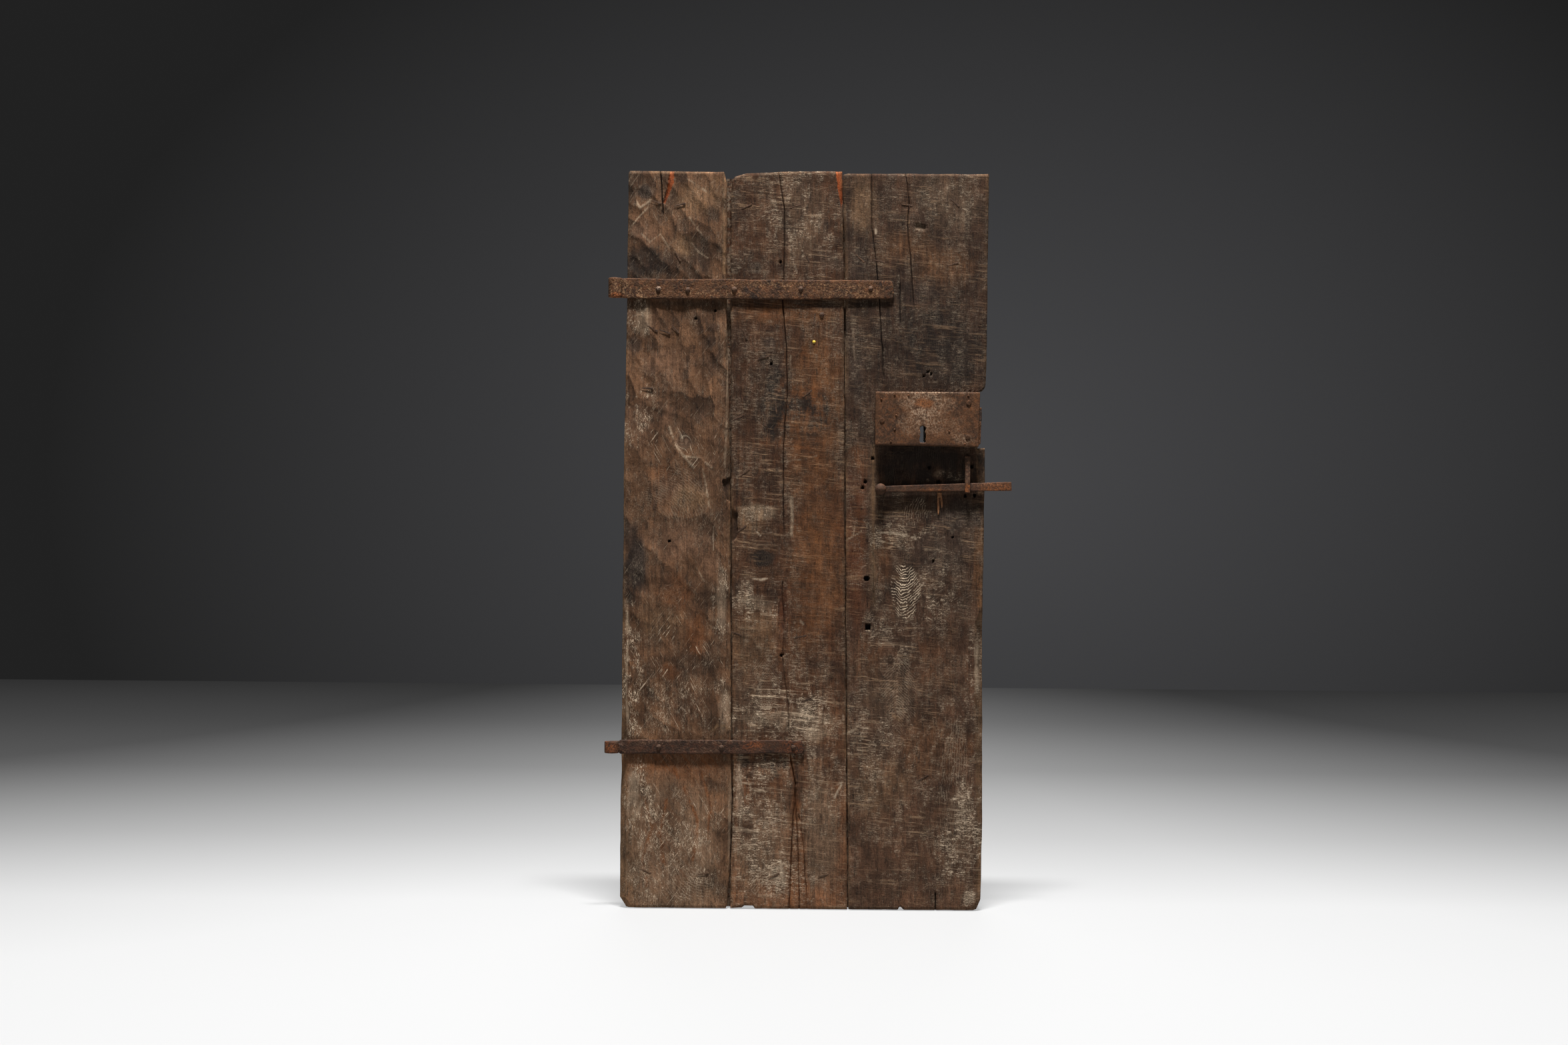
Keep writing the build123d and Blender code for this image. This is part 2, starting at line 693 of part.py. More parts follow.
def lock_place():
    # notch at the free edge, way of the key and the holes of the lock nails
    foot = lock_foot - notch_room - case_lean_share * lock_width
    top = lock_foot + lock_height + notch_room
    left = lock_right - lock_iron
    right = across(1) + overrun
    notch = slab([(left, foot), (right, foot), (right, top + notch_round), (across(1) - 0.4 * notch_round, top), (left, top)],
                 face - overrun, back + overrun)
    wide = 2 * key_room
    gate = block(key_x, 0.5 * (face + back), key_z - 0.5 * key_drop, wide, plank_thick + 2 * overrun, key_drop + 2 * key_room)
    tools = [notch, gate]
    for place in lock_nail_shares:
        x, z = in_lock(*place)
        tools.append(nail_hole(x, z, face - overrun, face + lock_nail_deep + nail_slack))
    tools.append(rod(pivot_x, face - overrun, pivot_z, pivot_radius + nail_slack, plank_thick + 2 * overrun, rearward))
    return tools


def hinge_plank():
    outline = on_leaf(hinge_edge_shares + hinge_top_shares + first_left_shares[::-1] + hinge_foot_shares)
    plank = slab(outline, face, back)
    plank = plank - edge_strip(first_right_shares, -1, tongue_reach, tongue_slack, 4 * overrun)
    plank = cleared(plank, scallop_cuts())
    plank = plank - edge_bevel(across(-0.003), 1, hinge_bevel_share, bevel_leg, 0)
    tools = [check_cut(line) for line in hinge_check_shares] + [scar_cut(line) for line in hinge_scar_shares]
    return cleared(plank, tools + through_holes() + face_holes())


def middle_plank():
    outline = on_leaf(first_right_shares + middle_top_shares + second_left_shares[::-1] + middle_foot_shares)
    plank = slab(outline, face, back)
    plank = plank + edge_strip(first_right_shares[1:-1], -1, tongue_reach, 0, 0)
    plank = plank + edge_strip(second_left_shares[1:-1], 1, tongue_reach, 0, 0)
    tools = [check_cut(line) for line in middle_check_shares] + [scar_cut(line) for line in middle_scar_shares]
    return cleared(plank, tools + through_holes() + face_holes())


def lock_plank():
    outline = on_leaf(second_right_shares + lock_top_shares + free_edge_shares[::-1] + lock_foot_shares)
    plank = slab(outline, face, back)
    plank = plank - edge_strip(second_left_shares, 1, tongue_reach, tongue_slack, 4 * overrun)
    plank = plank - edge_bevel(across(0.999), -1, free_bevel_share, 0.4 * bevel_leg, bevel_leg)
    tools = [check_cut(line) for line in lock_check_shares]
    return cleared(plank, tools + through_holes() + face_holes() + lock_place() + staple_holes() + [pin_slot()])


def nailed_strap(strap, points):
    return cleared(strap, [nail_hole(x, z, face - 2 * strap_thick, face + overrun) for x, z in points])


def upper_strap():
    strap = rolled_strap(up(upper_strap_share), upper_band, across(upper_reach_share), upper_eye_high, upper_rise, False)
    return nailed_strap(strap, upper_points)


def lower_strap():
    strap = rolled_strap(0, lower_band, across(lower_reach_share), lower_eye_high, lower_rise, True)
    return nailed_strap(strap, lower_points)


pieces = {
    "hinge_plank": hinge_plank(),
    "middle_plank": middle_plank(),
    "lock_plank": lock_plank(),
    "upper_ledge": ledge(upper_ledge_shares, on_leaf(upper_row_shares)),
    "lower_ledge": ledge(lower_ledge_shares, on_leaf(lower_row_shares)),
    "foot_ledge": ledge(foot_ledge_shares, on_leaf(foot_row_shares)),
    "upper_ledge_nails": Compound(ledge_nails(upper_row_shares)),
    "lower_ledge_nails": Compound(ledge_nails(lower_row_shares)),
    "foot_ledge_nails": Compound(ledge_nails(foot_row_shares)),
    "upper_strap": upper_strap(),
    "lower_strap": lower_strap(),
    "upper_strap_nails": Compound(strap_nails(upper_points)),
    "lower_strap_nails": Compound(strap_nails(lower_points)),
    "lock_case": lock_case(),
    "lock_forend": lock_forend(),
    "lock_bolt": lock_bolt(),
    "lock_rivets": Compound(lock_rivets()),
    "lock_nails": Compound(lock_nails()),
    "key_bridge": key_bridge(),
    "bolt_spring": bolt_spring(),
    "latch_bar": latch_bar(),
    "latch_pivot": latch_pivot(),
    "latch_washer": latch_washer(),
    "latch_staple": latch_staple(),
    "split_pin": split_pin(),
    "dome_nail": pushed_pin(dome_nail_share, dome_nail_radius, dome_nail_high),
    "marker_pin": pushed_pin(marker_share, marker_radius, marker_high),
    "stray_nails": Compound(stray_nails()),
}

os.makedirs("parts", exist_ok=True)
for name, shape in pieces.items():
    export_step(shape, "parts/" + name + ".step")
    print(name, "made")
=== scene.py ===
import math
import bmesh
import bpy
import numpy as np
from mathutils import Matrix, Vector


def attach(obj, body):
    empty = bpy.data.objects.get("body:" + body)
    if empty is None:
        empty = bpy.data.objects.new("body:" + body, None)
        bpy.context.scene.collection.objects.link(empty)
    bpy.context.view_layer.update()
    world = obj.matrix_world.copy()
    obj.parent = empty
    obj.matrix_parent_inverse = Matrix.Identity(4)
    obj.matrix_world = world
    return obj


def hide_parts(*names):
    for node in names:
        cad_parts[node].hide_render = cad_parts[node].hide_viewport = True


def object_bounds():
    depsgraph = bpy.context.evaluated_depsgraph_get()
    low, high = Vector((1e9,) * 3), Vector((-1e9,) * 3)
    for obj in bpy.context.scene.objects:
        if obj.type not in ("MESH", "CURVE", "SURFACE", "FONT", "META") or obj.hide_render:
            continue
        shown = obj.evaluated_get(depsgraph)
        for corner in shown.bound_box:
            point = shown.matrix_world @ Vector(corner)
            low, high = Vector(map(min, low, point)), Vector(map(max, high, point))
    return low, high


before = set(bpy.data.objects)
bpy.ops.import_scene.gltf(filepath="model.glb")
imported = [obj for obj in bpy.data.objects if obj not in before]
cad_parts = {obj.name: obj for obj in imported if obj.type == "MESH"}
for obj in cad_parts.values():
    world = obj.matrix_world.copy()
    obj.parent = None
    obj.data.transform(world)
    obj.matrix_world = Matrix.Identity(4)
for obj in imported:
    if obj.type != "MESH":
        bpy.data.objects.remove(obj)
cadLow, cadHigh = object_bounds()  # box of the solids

# Sizes in metres, places read from the photo in pixels
faceY = 0.0165  # front of the planks
backY = 0.0615
leafWidth = 0.855
leafHeight = 1.747
leafLeft = 0.0245
leafFoot = -0.382
pixel = 0.00158  # length of one pixel at the face
photoTurn = 0.00873  # angle that the photo leans by
turnX, turnY = 1207, 811  # middle of that lean
eyeX, eyeY = 920.5, 1122.5  # lower hinge eye, the origin of the frame
hingePlankX = 1010  # columns of the photo where heights are read
leafMiddleX = 1200


def inBox(places):  # no point stands outside the box of the solids
    return np.clip(places, np.array(cadLow), np.array(cadHigh))


def fromPhoto(px, py):  # photo pixel to the plane of the leaf
    x = px - photoTurn * (turnY - py)
    y = py - photoTurn * (px - turnX)
    return (x - eyeX) * pixel, (eyeY - y) * pixel


def allFromPhoto(points):
    return [fromPhoto(px, py) for px, py in points]


def onLeaf(shares):
    return [(leafLeft + wide * leafWidth, leafFoot + high * leafHeight) for wide, high in shares]


def swapped(shares):  # edge of a plank as height, place
    return [(high, wide) for wide, high in onLeaf(shares)]


def lineAt(points, values):  # piecewise line through (at, value) pairs
    points = sorted(points)
    return np.interp(values, [at for at, value in points], [value for at, value in points])


def downLeaf(steps, px, z):  # value at a height, from pairs of photo row and value
    return lineAt([(fromPhoto(px, py)[1], value) for py, value in steps], z)


def paint(red, green, blue):  # 0-255 screen colour to linear
    tints = []
    for value in (red, green, blue):
        value = value / 255
        tints.append(value / 12.92 if value < 0.04045 else ((value + 0.055) / 1.055) ** 2.4)
    return np.array(tints)


def scatter(ix, iz, seed):
    value = np.sin(ix * 127.1 + iz * 311.7 + seed * 74.7) * 43758.5453
    return value - np.floor(value)


def softNoise(x, z, seed):  # smooth bumps between -1 and 1
    ix, iz = np.floor(x), np.floor(z)
    fx, fz = x - ix, z - iz
    fx, fz = fx * fx * (3 - 2 * fx), fz * fz * (3 - 2 * fz)
    low = scatter(ix, iz, seed) * (1 - fx) + scatter(ix + 1, iz, seed) * fx
    high = scatter(ix, iz + 1, seed) * (1 - fx) + scatter(ix + 1, iz + 1, seed) * fx
    return (low * (1 - fz) + high * fz) * 2 - 1


def roughNoise(x, z, seed, layers=4):
    total = 0
    for layer in range(layers):
        total = total + softNoise(x * 2 ** layer, z * 2 ** layer, seed + layer * 3.1) / 2 ** layer
    return total / 1.6


def fade(value, low, high):  # soft step from 0 to 1
    share = np.clip((value - low) / (high - low), 0, 1)
    return share * share * (3 - 2 * share)


def plug(item, inputs):  # sockets are linked, plain values set
    for key, value in inputs.items():
        if isinstance(value, bpy.types.NodeSocket):
            item.id_data.links.new(value, item.inputs[key])
        else:
            item.inputs[key].default_value = value


def addNode(tree, kind, inputs=None, **settings):
    item = tree.nodes.new(kind)
    for key, value in settings.items():
        setattr(item, key, value)
    plug(item, inputs or {})
    return item


def calc(operation, first, second):
    return addNode(first.id_data, "ShaderNodeMath", {0: first, 1: second}, operation=operation).outputs[0]


def times(first, second):
    return calc("MULTIPLY", first, second)


def plus(first, second):
    return calc("ADD", first, second)


def most(first, second):
    return calc("MAXIMUM", first, second)


def band(value, low, high, toLow=0.0, toHigh=1.0):
    sockets = {"Value": value, "From Min": low, "From Max": high, "To Min": toLow, "To Max": toHigh}
    return addNode(value.id_data, "ShaderNodeMapRange", sockets).outputs["Result"]


def blend(tree, mode, factor, first, second):
    sockets = {0: factor, 6: first, 7: second}
    return addNode(tree, "ShaderNodeMix", sockets, data_type="RGBA", blend_type=mode).outputs[2]


def asTint(value):
    return value if isinstance(value, bpy.types.NodeSocket) else (*map(float, value), 1.0)


def mixTint(factor, first, second):
    return blend(factor.id_data, "MIX", factor, asTint(first), asTint(second))


def shaded(tint, amount):
    return blend(tint.id_data, "MULTIPLY", 1.0, tint, amount)


def grainNoise(place, pitch, detail=4.0, rough=0.6, bend=0.0, turn=0.0):  # pitch: bumps a metre
    tree = place.id_data
    size = tuple(1 / value for value in pitch)
    sockets = {"Vector": place, "Scale": size, "Rotation": (0.0, turn, 0.0)}
    mapped = addNode(tree, "ShaderNodeMapping", sockets, vector_type="TEXTURE").outputs[0]
    sockets = {"Vector": mapped, "Scale": 1.0, "Detail": detail, "Roughness": rough, "Distortion": bend}
    return addNode(tree, "ShaderNodeTexNoise", sockets).outputs[0]


def bumpFrom(height, strength, distance):
    sockets = {"Strength": strength, "Distance": distance, "Height": height}
    return addNode(height.id_data, "ShaderNodeBump", sockets).outputs[0]


def newMaterial(name):
    material = bpy.data.materials.new(name)
    material.use_nodes = True
    tree = material.node_tree
    tree.nodes.clear()
    out = addNode(tree, "ShaderNodeOutputMaterial")
    shader = addNode(tree, "ShaderNodeBsdfPrincipled")
    tree.links.new(shader.outputs[0], out.inputs[0])
    return material, tree, shader


def ownPlace(tree):
    return addNode(tree, "ShaderNodeTexCoord").outputs["Object"]


def readLayer(tree, name, output):
    return addNode(tree, "ShaderNodeAttribute", attribute_name=name).outputs[output]


def readTints(tree, name):
    return addNode(tree, "ShaderNodeSeparateColor", {0: readLayer(tree, name, "Color")}).outputs


def makeWood(look):
    material, tree, shader = newMaterial(look["name"])
    tone = readLayer(tree, "tone", "Color")
    flow = readLayer(tree, "flow", "Vector")
    curl = readLayer(tree, "curl", "Fac")
    pale, dark, sawn = readTints(tree, "marks")
    rings, veins, smears = readTints(tree, "lines")
    tilt = look["sawTilt"]
    slashUp, slashDown = look["slash"]
    fine = grainNoise(flow, (330, 200, 240), 3.0, 0.75)
    dust = grainNoise(flow, (520, 300, 330), 3.0, 0.72)
    grain = grainNoise(flow, (150, 60, 5), 4.0, 0.6, 0.3)
    blotch = grainNoise(flow, (17, 13, 12), 6.0, 0.66)
    brush = grainNoise(flow, look["brush"], 4.0, 0.68, 1.3)
    pores = grainNoise(flow, (270, 100, 40), 4.0, 0.7, 0.5)
    sawWide = grainNoise(flow, (11, 60, 165), 4.0, 0.64, 0.8, tilt)
    sawFine = grainNoise(flow, (34, 60, 400), 4.0, 0.66, 0.6, tilt)
    sawGate = grainNoise(flow, (19, 20, 24), 4.0, 0.68)
    upward = grainNoise(flow, (13, 60, 330), 4.0, 0.62, 0.5, slashUp)
    downward = grainNoise(flow, (16, 60, 330), 4.0, 0.62, 0.5, slashDown)
    fleckGate = grainNoise(flow, (40, 30, 20), 6.0, 0.72)
    stain = grainNoise(flow, (52, 60, 24), 5.0, 0.68)
    wander = grainNoise(flow, (80, 60, 55), 4.0, 0.62)
    tint = shaded(tone, band(blotch, 0.32, 0.68, 0.42, 1.56))
    tint = shaded(tint, band(grain, 0.3, 0.7, 0.68, 1.32))
    tint = shaded(tint, band(fine, 0.34, 0.66, 1 - look["grit"], 1 + look["grit"]))
    tint = shaded(tint, band(pores, 0.54, 0.64, 1.0, 0.45))
    smearMask = plus(band(sawWide, 0.42, 0.60), band(sawFine, 0.48, 0.60, 0.0, 0.5))
    smearMask = times(times(smearMask, smears), 0.8)
    tint = mixTint(calc("MINIMUM", smearMask, 0.9), tint, look["smearTint"])
    darkMask = times(band(stain, 0.38, 0.58), dark)
    tint = mixTint(times(darkMask, 0.85), tint, look["darkTint"])
    sawMask = most(band(sawWide, 0.545, 0.62), band(sawFine, 0.56, 0.66))
    sawMask = times(times(sawMask, band(sawGate, 0.42, 0.60)), sawn)
    sawColour = mixTint(times(pale, 0.45), look["sawTint"], look["paleTint"])
    tint = mixTint(times(sawMask, look["sawPull"]), tint, sawColour)
    phase = plus(times(curl, 2 * math.pi), times(wander, 17.0))
    ringMask = times(band(calc("SINE", phase, 0.0), 0.25, 0.85), rings)
    ringMask = times(ringMask, band(fleckGate, 0.40, 0.54))
    upMask = times(band(upward, 0.60, 0.67), band(blotch, 0.50, 0.55))
    downMask = times(band(downward, 0.59, 0.67), band(blotch, 0.46, 0.51, 1.0, 0.0))
    veinMask = times(times(most(upMask, downMask), band(stain, 0.42, 0.54)), veins)
    fleckMask = most(band(brush, 0.53, 0.595), band(dust, 0.55, 0.63, 0.0, 0.5))
    fleckMask = times(times(fleckMask, band(fleckGate, 0.47, 0.56)), pale)
    paleMask = most(most(ringMask, veinMask), calc("MINIMUM", fleckMask, 1.0))
    tint = mixTint(times(paleMask, look["palePull"]), tint, look["paleTint"])
    height = plus(times(grain, 0.5), times(fine, 0.4))
    for mask, amount in ((stain, 0.6), (sawMask, 0.35), (paleMask, 0.3)):
        height = plus(height, times(mask, amount))
    plug(shader, {"Base Color": tint, "Roughness": band(fine, 0.3, 0.7, 0.95, 0.72),
                  "Specular IOR Level": 0.14, "Normal": bumpFrom(height, look["bump"], 0.0034)})
    return material


def makeIron(name, rustPull, palePull, bump, soft, *tints):  # soft: half width of the step to flaked iron
    material, tree, shader = newMaterial(name)
    deep, body, rust, flake, flame = [paint(*tint) for tint in tints]
    place = ownPlace(tree)
    pale, orange, dark = readTints(tree, "marks")
    broad = grainNoise(place, (24, 24, 24), 4.0, 0.6)
    mottle = grainNoise(place, (85, 85, 85), 5.0, 0.66, 0.5)
    crust = grainNoise(place, (230, 230, 230), 4.0, 0.7)
    grit = grainNoise(place, (640, 640, 640), 3.0, 0.7)
    mapped = addNode(tree, "ShaderNodeMapping", {"Vector": place, "Scale": (260, 260, 260)}).outputs[0]
    pits = addNode(tree, "ShaderNodeTexVoronoi", {"Vector": mapped, "Scale": 1.0}).outputs["Distance"]
    tint = mixTint(band(broad, 0.38, 0.62), deep, body)
    tint = mixTint(band(mottle, 0.46, 0.66, 0.0, rustPull), tint, rust)
    flakes = times(band(crust, 0.55 - soft, 0.55 + soft), band(mottle, 0.34, 0.56))
    tint = mixTint(times(flakes, plus(pale, palePull)), tint, flake)
    tint = mixTint(times(band(crust, 0.49 - soft, 0.49 + soft), orange), tint, flame)
    tint = mixTint(times(dark, 0.85), tint, deep * 0.55)
    tint = shaded(tint, band(grit, 0.3, 0.7, 0.70, 1.30))
    tint = shaded(tint, band(pits, 0.1, 0.55, 0.72, 1.12))
    height = plus(times(pits, 0.7), times(crust, 0.8))
    height = plus(times(grit, 0.35), height)
    plug(shader, {"Base Color": tint, "Roughness": band(crust, 0.3, 0.7, 0.62, 0.9),
                  "Specular IOR Level": 0.2, "Normal": bumpFrom(height, bump, 0.0012)})
    return material


def storeLook(mesh, tone=None, marks=None, flow=None, lines=None, curl=None):  # one tint may serve all points
    count = len(mesh.vertices)
    for name, values in (("tone", tone), ("marks", marks), ("lines", lines)):
        if values is not None:
            tints = np.c_[np.zeros((count, 3)) + values, np.ones(count)]
            layer = mesh.color_attributes.new(name, "FLOAT_COLOR", "POINT")
            layer.data.foreach_set("color", tints.astype(np.float32).ravel())
    if flow is not None:
        layer = mesh.attributes.new("flow", "FLOAT_VECTOR", "POINT")
        layer.data.foreach_set("vector", flow.astype(np.float32).ravel())
    if curl is not None:
        layer = mesh.attributes.new("curl", "FLOAT", "POINT")
        layer.data.foreach_set("value", curl.astype(np.float32))


def readPoints(layer, key):
    values = np.zeros(len(layer) * 3)
    layer.foreach_get(key, values)
    return values.reshape(-1, 3)


def placesOf(mesh):
    return readPoints(mesh.vertices, "co")


def pushOut(mesh, lift):  # places moved along their normals
    return inBox(placesOf(mesh) + readPoints(mesh.vertex_normals, "vector") * lift[:, None])


def movePoints(mesh, places):
    mesh.vertices.foreach_set("co", places.ravel())
    mesh.update()


def meshFrom(bm, name):
    mesh = bpy.data.meshes.new(name)
    bm.to_mesh(mesh)
    bm.free()
    return mesh


def inScene(name, data):
    item = bpy.data.objects.new(name, data)
    bpy.context.scene.collection.objects.link(item)
    return item


def placePiece(mesh, name, material, node, body="leaf"):
    piece = inScene(name, mesh)
    mesh.materials.clear()
    mesh.materials.append(material)
    mesh.shade_smooth()
    mesh.set_sharp_from_angle(angle=math.radians(60))
    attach(piece, body)
    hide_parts(node)
    print("piece", name, len(mesh.polygons))


def softPatch(x, z, patch, seed):  # patch: photo x, photo y, half width, half height in pixels
    cx, cz = fromPhoto(patch[0], patch[1])
    rx, rz = patch[2] * pixel, patch[3] * pixel
    reach = np.sqrt(((x - cx) / rx) ** 2 + ((z - cz) / rz) ** 2)
    reach = reach + 0.45 * roughNoise(x / rx * 1.3, z / rz * 1.3, seed, 4)
    return fade(-reach, -1.25, -0.45)


def crackDip(x, z, crack, seed):  # depth of a long crack, the line that it follows and its fading ends
    points = allFromPhoto(crack["line"])
    low, high = min(p[1] for p in points), max(p[1] for p in points)
    middle = lineAt([(pz, px) for px, pz in points], z) + 0.0011 * roughNoise(z * 30, z * 0, seed, 3)
    along = np.clip((z - low) / (high - low), 0, 1)
    ends = np.ones(len(z)) if crack.get("openFoot") else fade(along, 0.0, 0.12)
    ends = ends * (1.0 if crack.get("openTop") else fade(-along, -1.0, -0.88))
    ends = np.where((z > low - 0.002) & (z < high + 0.002), ends, 0)
    half = crack["half"] * (0.75 + 0.35 * roughNoise(z * 22, z * 0 + 4, seed + 9, 2)) * (0.35 + 0.65 * ends)
    return ends * np.clip(1 - np.abs(x - middle) / half, 0, 1) ** 0.8, middle, ends


# Palette of the wood, as seen on screen
woodTints = {
    "tan": paint(122, 93, 66), "dark": paint(50, 35, 25), "black": paint(30, 22, 17),
    "red": paint(92, 56, 30), "deepRed": paint(72, 40, 23), "pale": paint(150, 129, 106),
    "cream": paint(178, 158, 134), "grey": paint(92, 75, 59), "orange": paint(130, 62, 27),
    "warm": paint(104, 69, 41), "smoke": paint(52, 42, 36), "rosy": paint(112, 82, 62),
    "rust": paint(112, 66, 34), "worn": paint(106, 86, 68),
}
markSlots = {"fleck": 0, "stain": 1, "saw": 2, "ring": 3, "vein": 4, "smear": 5}


def insideOf(points, x, z):  # inside of a small outline, by crossing count
    inside = np.zeros(len(x), bool)
    last = points[-1]
    for point in points:
        crosses = (point[1] > z) != (last[1] > z)
        cut = (last[0] - point[0]) * (z - point[1]) / (last[1] - point[1] + 1e-12) + point[0]
        inside ^= crosses & (x < cut)
        last = point
    return inside.astype(float)


def nearLine(points, x, z):  # distance to a line of short straight runs
    nearest = np.full(len(x), 9.0)
    for start, stop in zip(points, points[1:]):
        runX, runZ = stop[0] - start[0], stop[1] - start[1]
        share = np.clip(((x - start[0]) * runX + (z - start[1]) * runZ) / (runX ** 2 + runZ ** 2), 0, 1)
        nearest = np.minimum(nearest, np.hypot(x - start[0] - share * runX, z - start[1] - share * runZ))
    return nearest


def tinge(tone, share, tint):
    return tone * (1 - share[:, None]) + woodTints[tint] * share[:, None]


def curlPhase(plank, x, z, flowX, rings):  # count of growth lines, bent where the grain curls
    phase = flowX * 240
    best = np.full(len(x), 0.3)
    for index, curl in enumerate(plank["curls"]):
        share = softPatch(x, z, curl["patch"], plank["seed"] + 91 + index)
        px = x / pixel + eyeX + photoTurn * (turnY - curl["patch"][1])
        py = eyeY - z / pixel + photoTurn * (px - turnX)
        if "arms" in curl:  # chevrons: rows of the same bent line
            count = (py - lineAt(curl["arms"], px)) / curl["pitch"]
        else:  # arcs round a point
            cx, cy, squash = curl["heart"]
            count = np.hypot(px - cx, (py - cy) * squash) / curl["pitch"]
        phase = np.where(share > best, count, phase)
        best = np.maximum(best, share)
        rings = rings + curl["amount"] * fade(share, 0.3, 0.6)
    return phase, rings


def addAdze(plank, x, z, relief, tone):  # slanting hollows, each the mark of one stroke
    seed = plank["seed"]
    best, second = np.full(len(x), -1.0), np.full(len(x), -1.0)
    paintedSlopeShade, stroke = np.zeros(len(x)), np.zeros(len(x))
    warpX = x + 0.007 * roughNoise(x * 13, z * 9, seed + 40, 3)
    warpZ = z + 0.009 * roughNoise(x * 13, z * 9, seed + 41, 3)
    cz = leafFoot + leafHeight
    row = 0
    while cz > leafFoot - 0.06:
        zone = [zone for zone in plank["strokes"] if cz <= fromPhoto(hingePlankX, zone["from"])[1] + 0.03][-1]
        for col in range(-1, int(plank["adzeSpan"] / zone["stepX"]) + 2):
            jitter = [float(scatter(np.float64(row), np.float64(col), seed + k)) - 0.5 for k in range(6)]
            sx = leafLeft + (col + 0.5 * (row % 2) + 0.75 * jitter[0]) * zone["stepX"]
            sz = cz + (0.9 * jitter[1] + 0.35 * (col % 2)) * zone["stepZ"]
            spin = math.radians(zone["turn"]) + 0.6 * jitter[2]
            dx, dz = warpX - sx, warpZ - sz
            along = (dx * math.cos(spin) - dz * math.sin(spin)) / (zone["long"] * (1 + 0.7 * jitter[3]))
            across = (dx * math.sin(spin) + dz * math.cos(spin)) / (zone["wide"] * (1 + 0.6 * jitter[4]))
            across = across * np.where(across > 0, 1.35, 0.75)  # steeper on the side where the blade went in
            depth = 1 + 0.7 * jitter[5] - np.abs(along) ** 2.6 - across ** 2
            better = depth > best
            second = np.where(better, best, np.maximum(second, depth))
            paintedSlopeShade = np.where(better, across + 0.5 * along, paintedSlopeShade)
            stroke = np.where(better, jitter[0] + jitter[3], stroke)
            best = np.where(better, depth, best)
        cz -= zone["stepZ"]
        row += 1
    calm = downLeaf(plank["adzeShare"], hingePlankX, z)
    relief = relief + calm * plank["adzeDeep"] * np.clip(best, -0.5, 1.4)
    # stroke gives each hollow its own random tone; paintedSlopeShade is painted light and shade by the tilt
    # of each hollow
    tone = tone * np.clip(1 + calm * (0.80 * stroke - 0.42 * np.clip(paintedSlopeShade, -1, 1)), 0.4, 1.7)[:, None]
    ridge = np.exp(-np.clip(best - second, 0, None) / plank["ridgeWide"])
    ridge = ridge * 0.95 * calm * fade(roughNoise(x * 24, z * 16, seed + 3, 3), -0.15, 0.45)
    return relief, tinge(tone, np.clip(ridge, 0, 1), "rosy")


wear = {"edge": 0.006, "round": 0.0040, "rubbed": 0.009, "rubPull": 0.45, "holeDeep": 0.012}  # of every plank
backMarks = (0.35, 0.25, 0.5, 0.2, 0.1, 0.0)  # marks of the hidden side, in the order of markSlots


